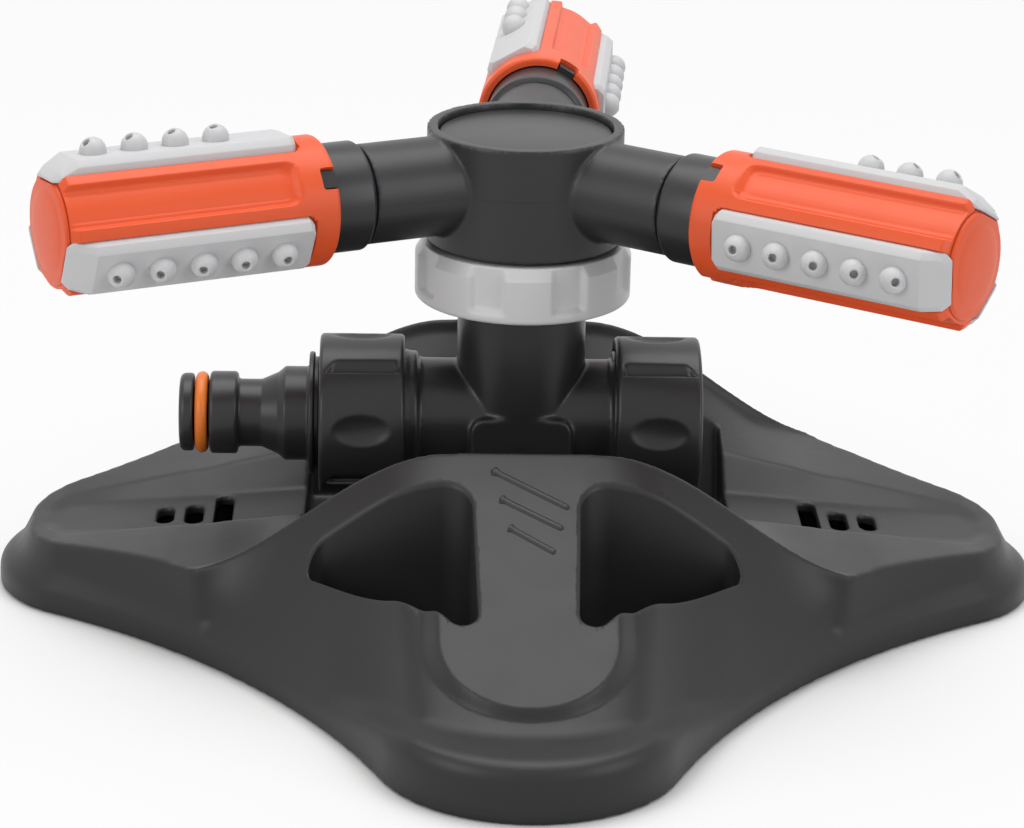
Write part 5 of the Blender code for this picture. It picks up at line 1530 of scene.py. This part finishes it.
class SPRINKLER_OT_inner_parts(bpy.types.Operator):
    """Finishes of the screws, washers, rings and spindle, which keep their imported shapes"""

    bl_idname = "sprinkler.inner_parts"
    bl_label = "Inner parts"

    def execute(self, context):
        made = finishes()
        coats = {
            "screw_steel": ("base_screw_1", "base_screw_2"),
            "fitting_plastic": ("rotor_spindle",),
            "black_rubber": (
                "inlet_washer",
                "cap_washer",
                "lower_thrust_washer",
                "upper_thrust_washer",
                "spindle_o_ring",
                *(side + "_arm_o_ring" for side in SIDES),
            ),
        }
        for coat, nodes in coats.items():
            for node in nodes:
                for slot in frame["nodes"][node].material_slots:
                    slot.material = made[coat]
        return {"FINISHED"}


# Studio and camera

WHITE = (1.0, 1.0, 1.0, 1.0)
# Each lamp's name, place, size, the setting that holds its watts, its share of them, and its colour
LAMPS = (
    ("overhead_softbox", (0.0, 0.12, 0.75), (0.75, 0.55), "overhead_watts", 1.0, (1.0, 1.0, 1.0)),
    ("left_softbox", (-0.62, -0.52, 0.40), (0.35, 0.50), "side_watts", 1.0, (1.0, 0.99, 0.97)),
    ("right_softbox", (0.66, -0.46, 0.36), (0.30, 0.50), "side_watts", 0.8, (0.97, 0.985, 1.0)),
)
LAMP_AIM = (0.0, 0.0, 0.05)
FLOOR_DROP = 0.0001
SENSOR_WIDTH = 36.0
CAMERA_CLIP = (0.01, 20.0)
CAMERA_AZIMUTH = -1.907
CAMERA_DISTANCE = 0.700
CAMERA_HEIGHT = 0.2842
CAMERA_YAW = 0.123
CAMERA_PITCH = 19.54
CAMERA_ROLL = 1.264
CAMERA_FOCUS = 3701.0
PHOTO_WIDTH = 1024.0
SHADOW_REACH = 0.060
SHADOW_SPAN = (0.55, 0.97)


def lamp(name, place, size, watts, colour):
    light = bpy.data.lights.new(name, "AREA")
    light.shape = "RECTANGLE"
    light.size, light.size_y = size
    light.energy = watts
    light.color = colour
    body = new_object(name, light)
    body.location = place
    body.rotation_mode = "QUATERNION"
    body.rotation_quaternion = (Vector(LAMP_AIM) - Vector(place)).to_track_quat("-Z", "Y")
    return body


def seen_directly(bench):
    """1 where the camera sees a surface, by itself, in a gloss or through something clear."""
    path = bench.add("ShaderNodeLightPath").socket.node
    rays = [Wire(bench, path.outputs[label]) for label in ("Is Camera Ray", "Is Glossy Ray", "Is Transmission Ray")]
    seen = rays[0] + rays[1] + rays[2]
    return bench.add("ShaderNodeClamp", {}, {"Value": seen})


def floor_material(colour, white, reach):
    """A matt floor that is seen as plain white in the open, with the shadow kept round and under the base."""
    material = bpy.data.materials.new("studio_floor")
    material.use_nodes = True
    bench = Bench(material.node_tree)
    open_sky = bench.add("ShaderNodeAmbientOcclusion", {"samples": 8}, {"Distance": reach}, "AO")
    span = {"Value": open_sky, "From Min": SHADOW_SPAN[0], "From Max": SHADOW_SPAN[1], "To Max": white}
    open_sky = bench.add("ShaderNodeMapRange", {}, span)
    plain = bench.add("ShaderNodeBsdfDiffuse", {}, {"Color": (*colour, 1.0)})
    glow = bench.add("ShaderNodeEmission", {}, {"Color": WHITE, "Strength": 1.0})
    mixed = bench.add("ShaderNodeMixShader", {}, {0: seen_directly(bench) * open_sky, 1: plain, 2: glow})
    bench.add("ShaderNodeOutputMaterial", {}, {"Surface": mixed})
    return material


class SPRINKLER_OT_studio(bpy.types.Operator):
    """Pale floor, soft lamps, even background and the camera at the photo's viewing angle"""

    bl_idname = "sprinkler.studio"
    bl_label = "Studio"

    def execute(self, context):
        scene = context.scene
        sizes = scene.sprinkler_studio
        scene.view_settings.view_transform = "Standard"
        bm = bmesh.new()
        bmesh.ops.create_grid(bm, x_segments=1, y_segments=1, size=sizes.floor_size / 2.0)
        floor = new_object("studio_floor", mesh_from("studio_floor", bm))
        floor.location.z = -FLOOR_DROP
        floor.data.materials.append(floor_material(sizes.floor_colour, sizes.floor_white, SHADOW_REACH))
        world = bpy.data.worlds.new("studio")
        world.use_nodes = True
        scene.world = world
        bench = Bench(world.node_tree)
        seen = seen_directly(bench)
        glow = bench.add("ShaderNodeBackground", {}, {"Color": WHITE, "Strength": sizes.world_strength})
        white = bench.add("ShaderNodeBackground", {}, {"Color": WHITE, "Strength": 1.0})
        mixed = bench.add("ShaderNodeMixShader", {}, {0: seen, 1: glow, 2: white})
        bench.add("ShaderNodeOutputWorld", {}, {"Surface": mixed})
        for name, place, size, watts, share, colour in LAMPS:
            lamp(name, place, size, getattr(sizes, watts) * share, colour)
        azimuth, yaw = math.radians(CAMERA_AZIMUTH), math.radians(CAMERA_YAW)
        pitch, roll = math.radians(CAMERA_PITCH), math.radians(CAMERA_ROLL)
        level = Vector((-math.sin(azimuth + yaw), math.cos(azimuth + yaw), 0.0))
        ahead = level * math.cos(pitch) - Vector((0.0, 0.0, math.sin(pitch)))
        right = ahead.cross(Vector((0.0, 0.0, 1.0))).normalized()
        up = right.cross(ahead)
        turned_right = right * math.cos(roll) + up * math.sin(roll)
        turned_up = up * math.cos(roll) - right * math.sin(roll)
        data = bpy.data.cameras.new("photo_camera")
        data.sensor_width = SENSOR_WIDTH
        data.lens = CAMERA_FOCUS * SENSOR_WIDTH / PHOTO_WIDTH
        data.clip_start, data.clip_end = CAMERA_CLIP
        camera = new_object("photo_camera", data)
        matrix = Matrix((turned_right, turned_up, -ahead)).transposed().to_4x4()
        matrix.translation = Vector(
            (CAMERA_DISTANCE * math.sin(azimuth), -CAMERA_DISTANCE * math.cos(azimuth), CAMERA_HEIGHT)
        )
        camera.matrix_world = matrix
        scene.camera = camera
        return {"FINISHED"}


# What a user would change

COLOUR = {"subtype": "COLOR", "min": 0.0, "max": 1.0}
LENGTH = {"subtype": "DISTANCE", "unit": "LENGTH"}


class DarkPieces(bpy.types.PropertyGroup):
    """Sizes and colours of the base and the black fittings"""

    base_colour: FloatVectorProperty(
        name="Base colour", description="Colour of the base", default=(0.020, 0.020, 0.0215), **COLOUR
    )
    base_roughness: FloatProperty(
        name="Base roughness", description="How matt the base is", default=0.42, min=0.0, max=1.0
    )
    fitting_colour: FloatVectorProperty(
        name="Fitting colour",
        description="Colour of the tee, nuts and rotor",
        subtype="COLOR",
        default=(0.026, 0.026, 0.028),
        min=0.0,
        max=1.0,
    )
    fitting_roughness: FloatProperty(
        name="Fitting roughness", description="How matt the fittings are", default=0.34, min=0.0, max=1.0
    )
    base_voxel: FloatProperty(
        name="Base detail",
        description="Size of the base's finest facets",
        default=0.00045,
        min=0.0003,
        max=0.002,
        subtype="DISTANCE",
        unit="LENGTH",
    )
    bar_width: FloatProperty(
        name="Bar width",
        description="Width of the raised bars on the front ramp",
        default=0.0013,
        min=0.0005,
        max=0.003,
        subtype="DISTANCE",
        unit="LENGTH",
    )


class PalePieces(bpy.types.PropertyGroup):
    """Sizes and colours of the heads and the lock ring"""

    orange_colour: FloatVectorProperty(
        name="Orange", description="Colour of the head shells", default=(0.84, 0.108, 0.030), **COLOUR
    )
    strip_colour: FloatVectorProperty(
        name="Strip colour", description="Colour of the nozzle strips", default=(0.60, 0.60, 0.61), **COLOUR
    )
    ring_colour: FloatVectorProperty(
        name="Ring colour", description="Colour of the lock ring", default=(0.68, 0.68, 0.69), **COLOUR
    )
    nozzle_places: IntProperty(
        name="Nozzles",
        description="Nozzles on a head's first strip. The next two have one and two fewer",
        default=5,
        min=3,
        max=8,
    )
    nozzle_first: FloatProperty(
        name="First nozzle", description="From the strip's inner end to its first nozzle", default=0.0060, **LENGTH
    )
    nozzle_pitch: FloatProperty(
        name="Nozzle pitch", description="Distance between nozzles", default=0.00815, **LENGTH
    )
    nozzle_radius: FloatProperty(
        name="Nozzle radius", description="Radius of a nozzle's dome", default=0.00255, **LENGTH
    )
    nozzle_hole_radius: FloatProperty(
        name="Hole radius", description="Radius of a nozzle's hole", default=0.00078, **LENGTH
    )


class StudioSettings(bpy.types.PropertyGroup):
    """Floor and lamps"""

    floor_colour: FloatVectorProperty(
        name="Floor colour", description="Colour of the floor", default=(0.82, 0.82, 0.82), **COLOUR
    )
    floor_white: FloatProperty(
        name="Floor white",
        description="Share of plain white that the camera sees in the floor",
        default=0.90,
        min=0.0,
        max=1.0,
    )
    floor_size: FloatProperty(name="Floor size", description="Side of the floor", default=6.0, **LENGTH)
    world_strength: FloatProperty(
        name="Background light", description="Light from all round", default=0.30, min=0.0, max=5.0
    )
    overhead_watts: FloatProperty(
        name="Overhead lamp", description="Power of the overhead lamp", default=4.2, min=0.0, unit="POWER"
    )
    side_watts: FloatProperty(
        name="Side lamps", description="Power of the lamps at the sides", default=2.0, min=0.0, unit="POWER"
    )


PIECES = (
    SPRINKLER_OT_base,
    SPRINKLER_OT_tee,
    SPRINKLER_OT_nipple,
    SPRINKLER_OT_nuts,
    SPRINKLER_OT_lock_ring,
    SPRINKLER_OT_rotor,
    SPRINKLER_OT_heads,
    SPRINKLER_OT_inner_parts,
    SPRINKLER_OT_studio,
)
SETTINGS = (
    ("sprinkler_dark", DarkPieces),
    ("sprinkler_pale", PalePieces),
    ("sprinkler_studio", StudioSettings),
)


class SPRINKLER_PT_panel(bpy.types.Panel):
    """Lists the settings and the pieces in the order in which they are built"""

    bl_idname = "SPRINKLER_PT_panel"
    bl_label = "Rotary sprinkler"
    bl_space_type = "VIEW_3D"
    bl_region_type = "UI"
    bl_category = "Sprinkler"

    def draw(self, context):
        for name, group in SETTINGS:
            box = self.layout.box()
            for prop in group.__annotations__:
                box.prop(getattr(context.scene, name), prop)
        for piece in PIECES:
            self.layout.operator(piece.bl_idname)


def register():
    for _, group in SETTINGS:
        bpy.utils.register_class(group)
    for name, group in SETTINGS:
        setattr(bpy.types.Scene, name, PointerProperty(type=group))
    for made in (*PIECES, SPRINKLER_PT_panel):
        bpy.utils.register_class(made)


def unregister():
    for made in (SPRINKLER_PT_panel, *reversed(PIECES)):
        bpy.utils.unregister_class(made)
    for name, group in SETTINGS:
        delattr(bpy.types.Scene, name)
        bpy.utils.unregister_class(group)


def main():
    register()
    for piece in PIECES:
        group, operator = piece.bl_idname.split(".")
        getattr(getattr(bpy.ops, group), operator)()


if __name__ == "__main__":
    main()
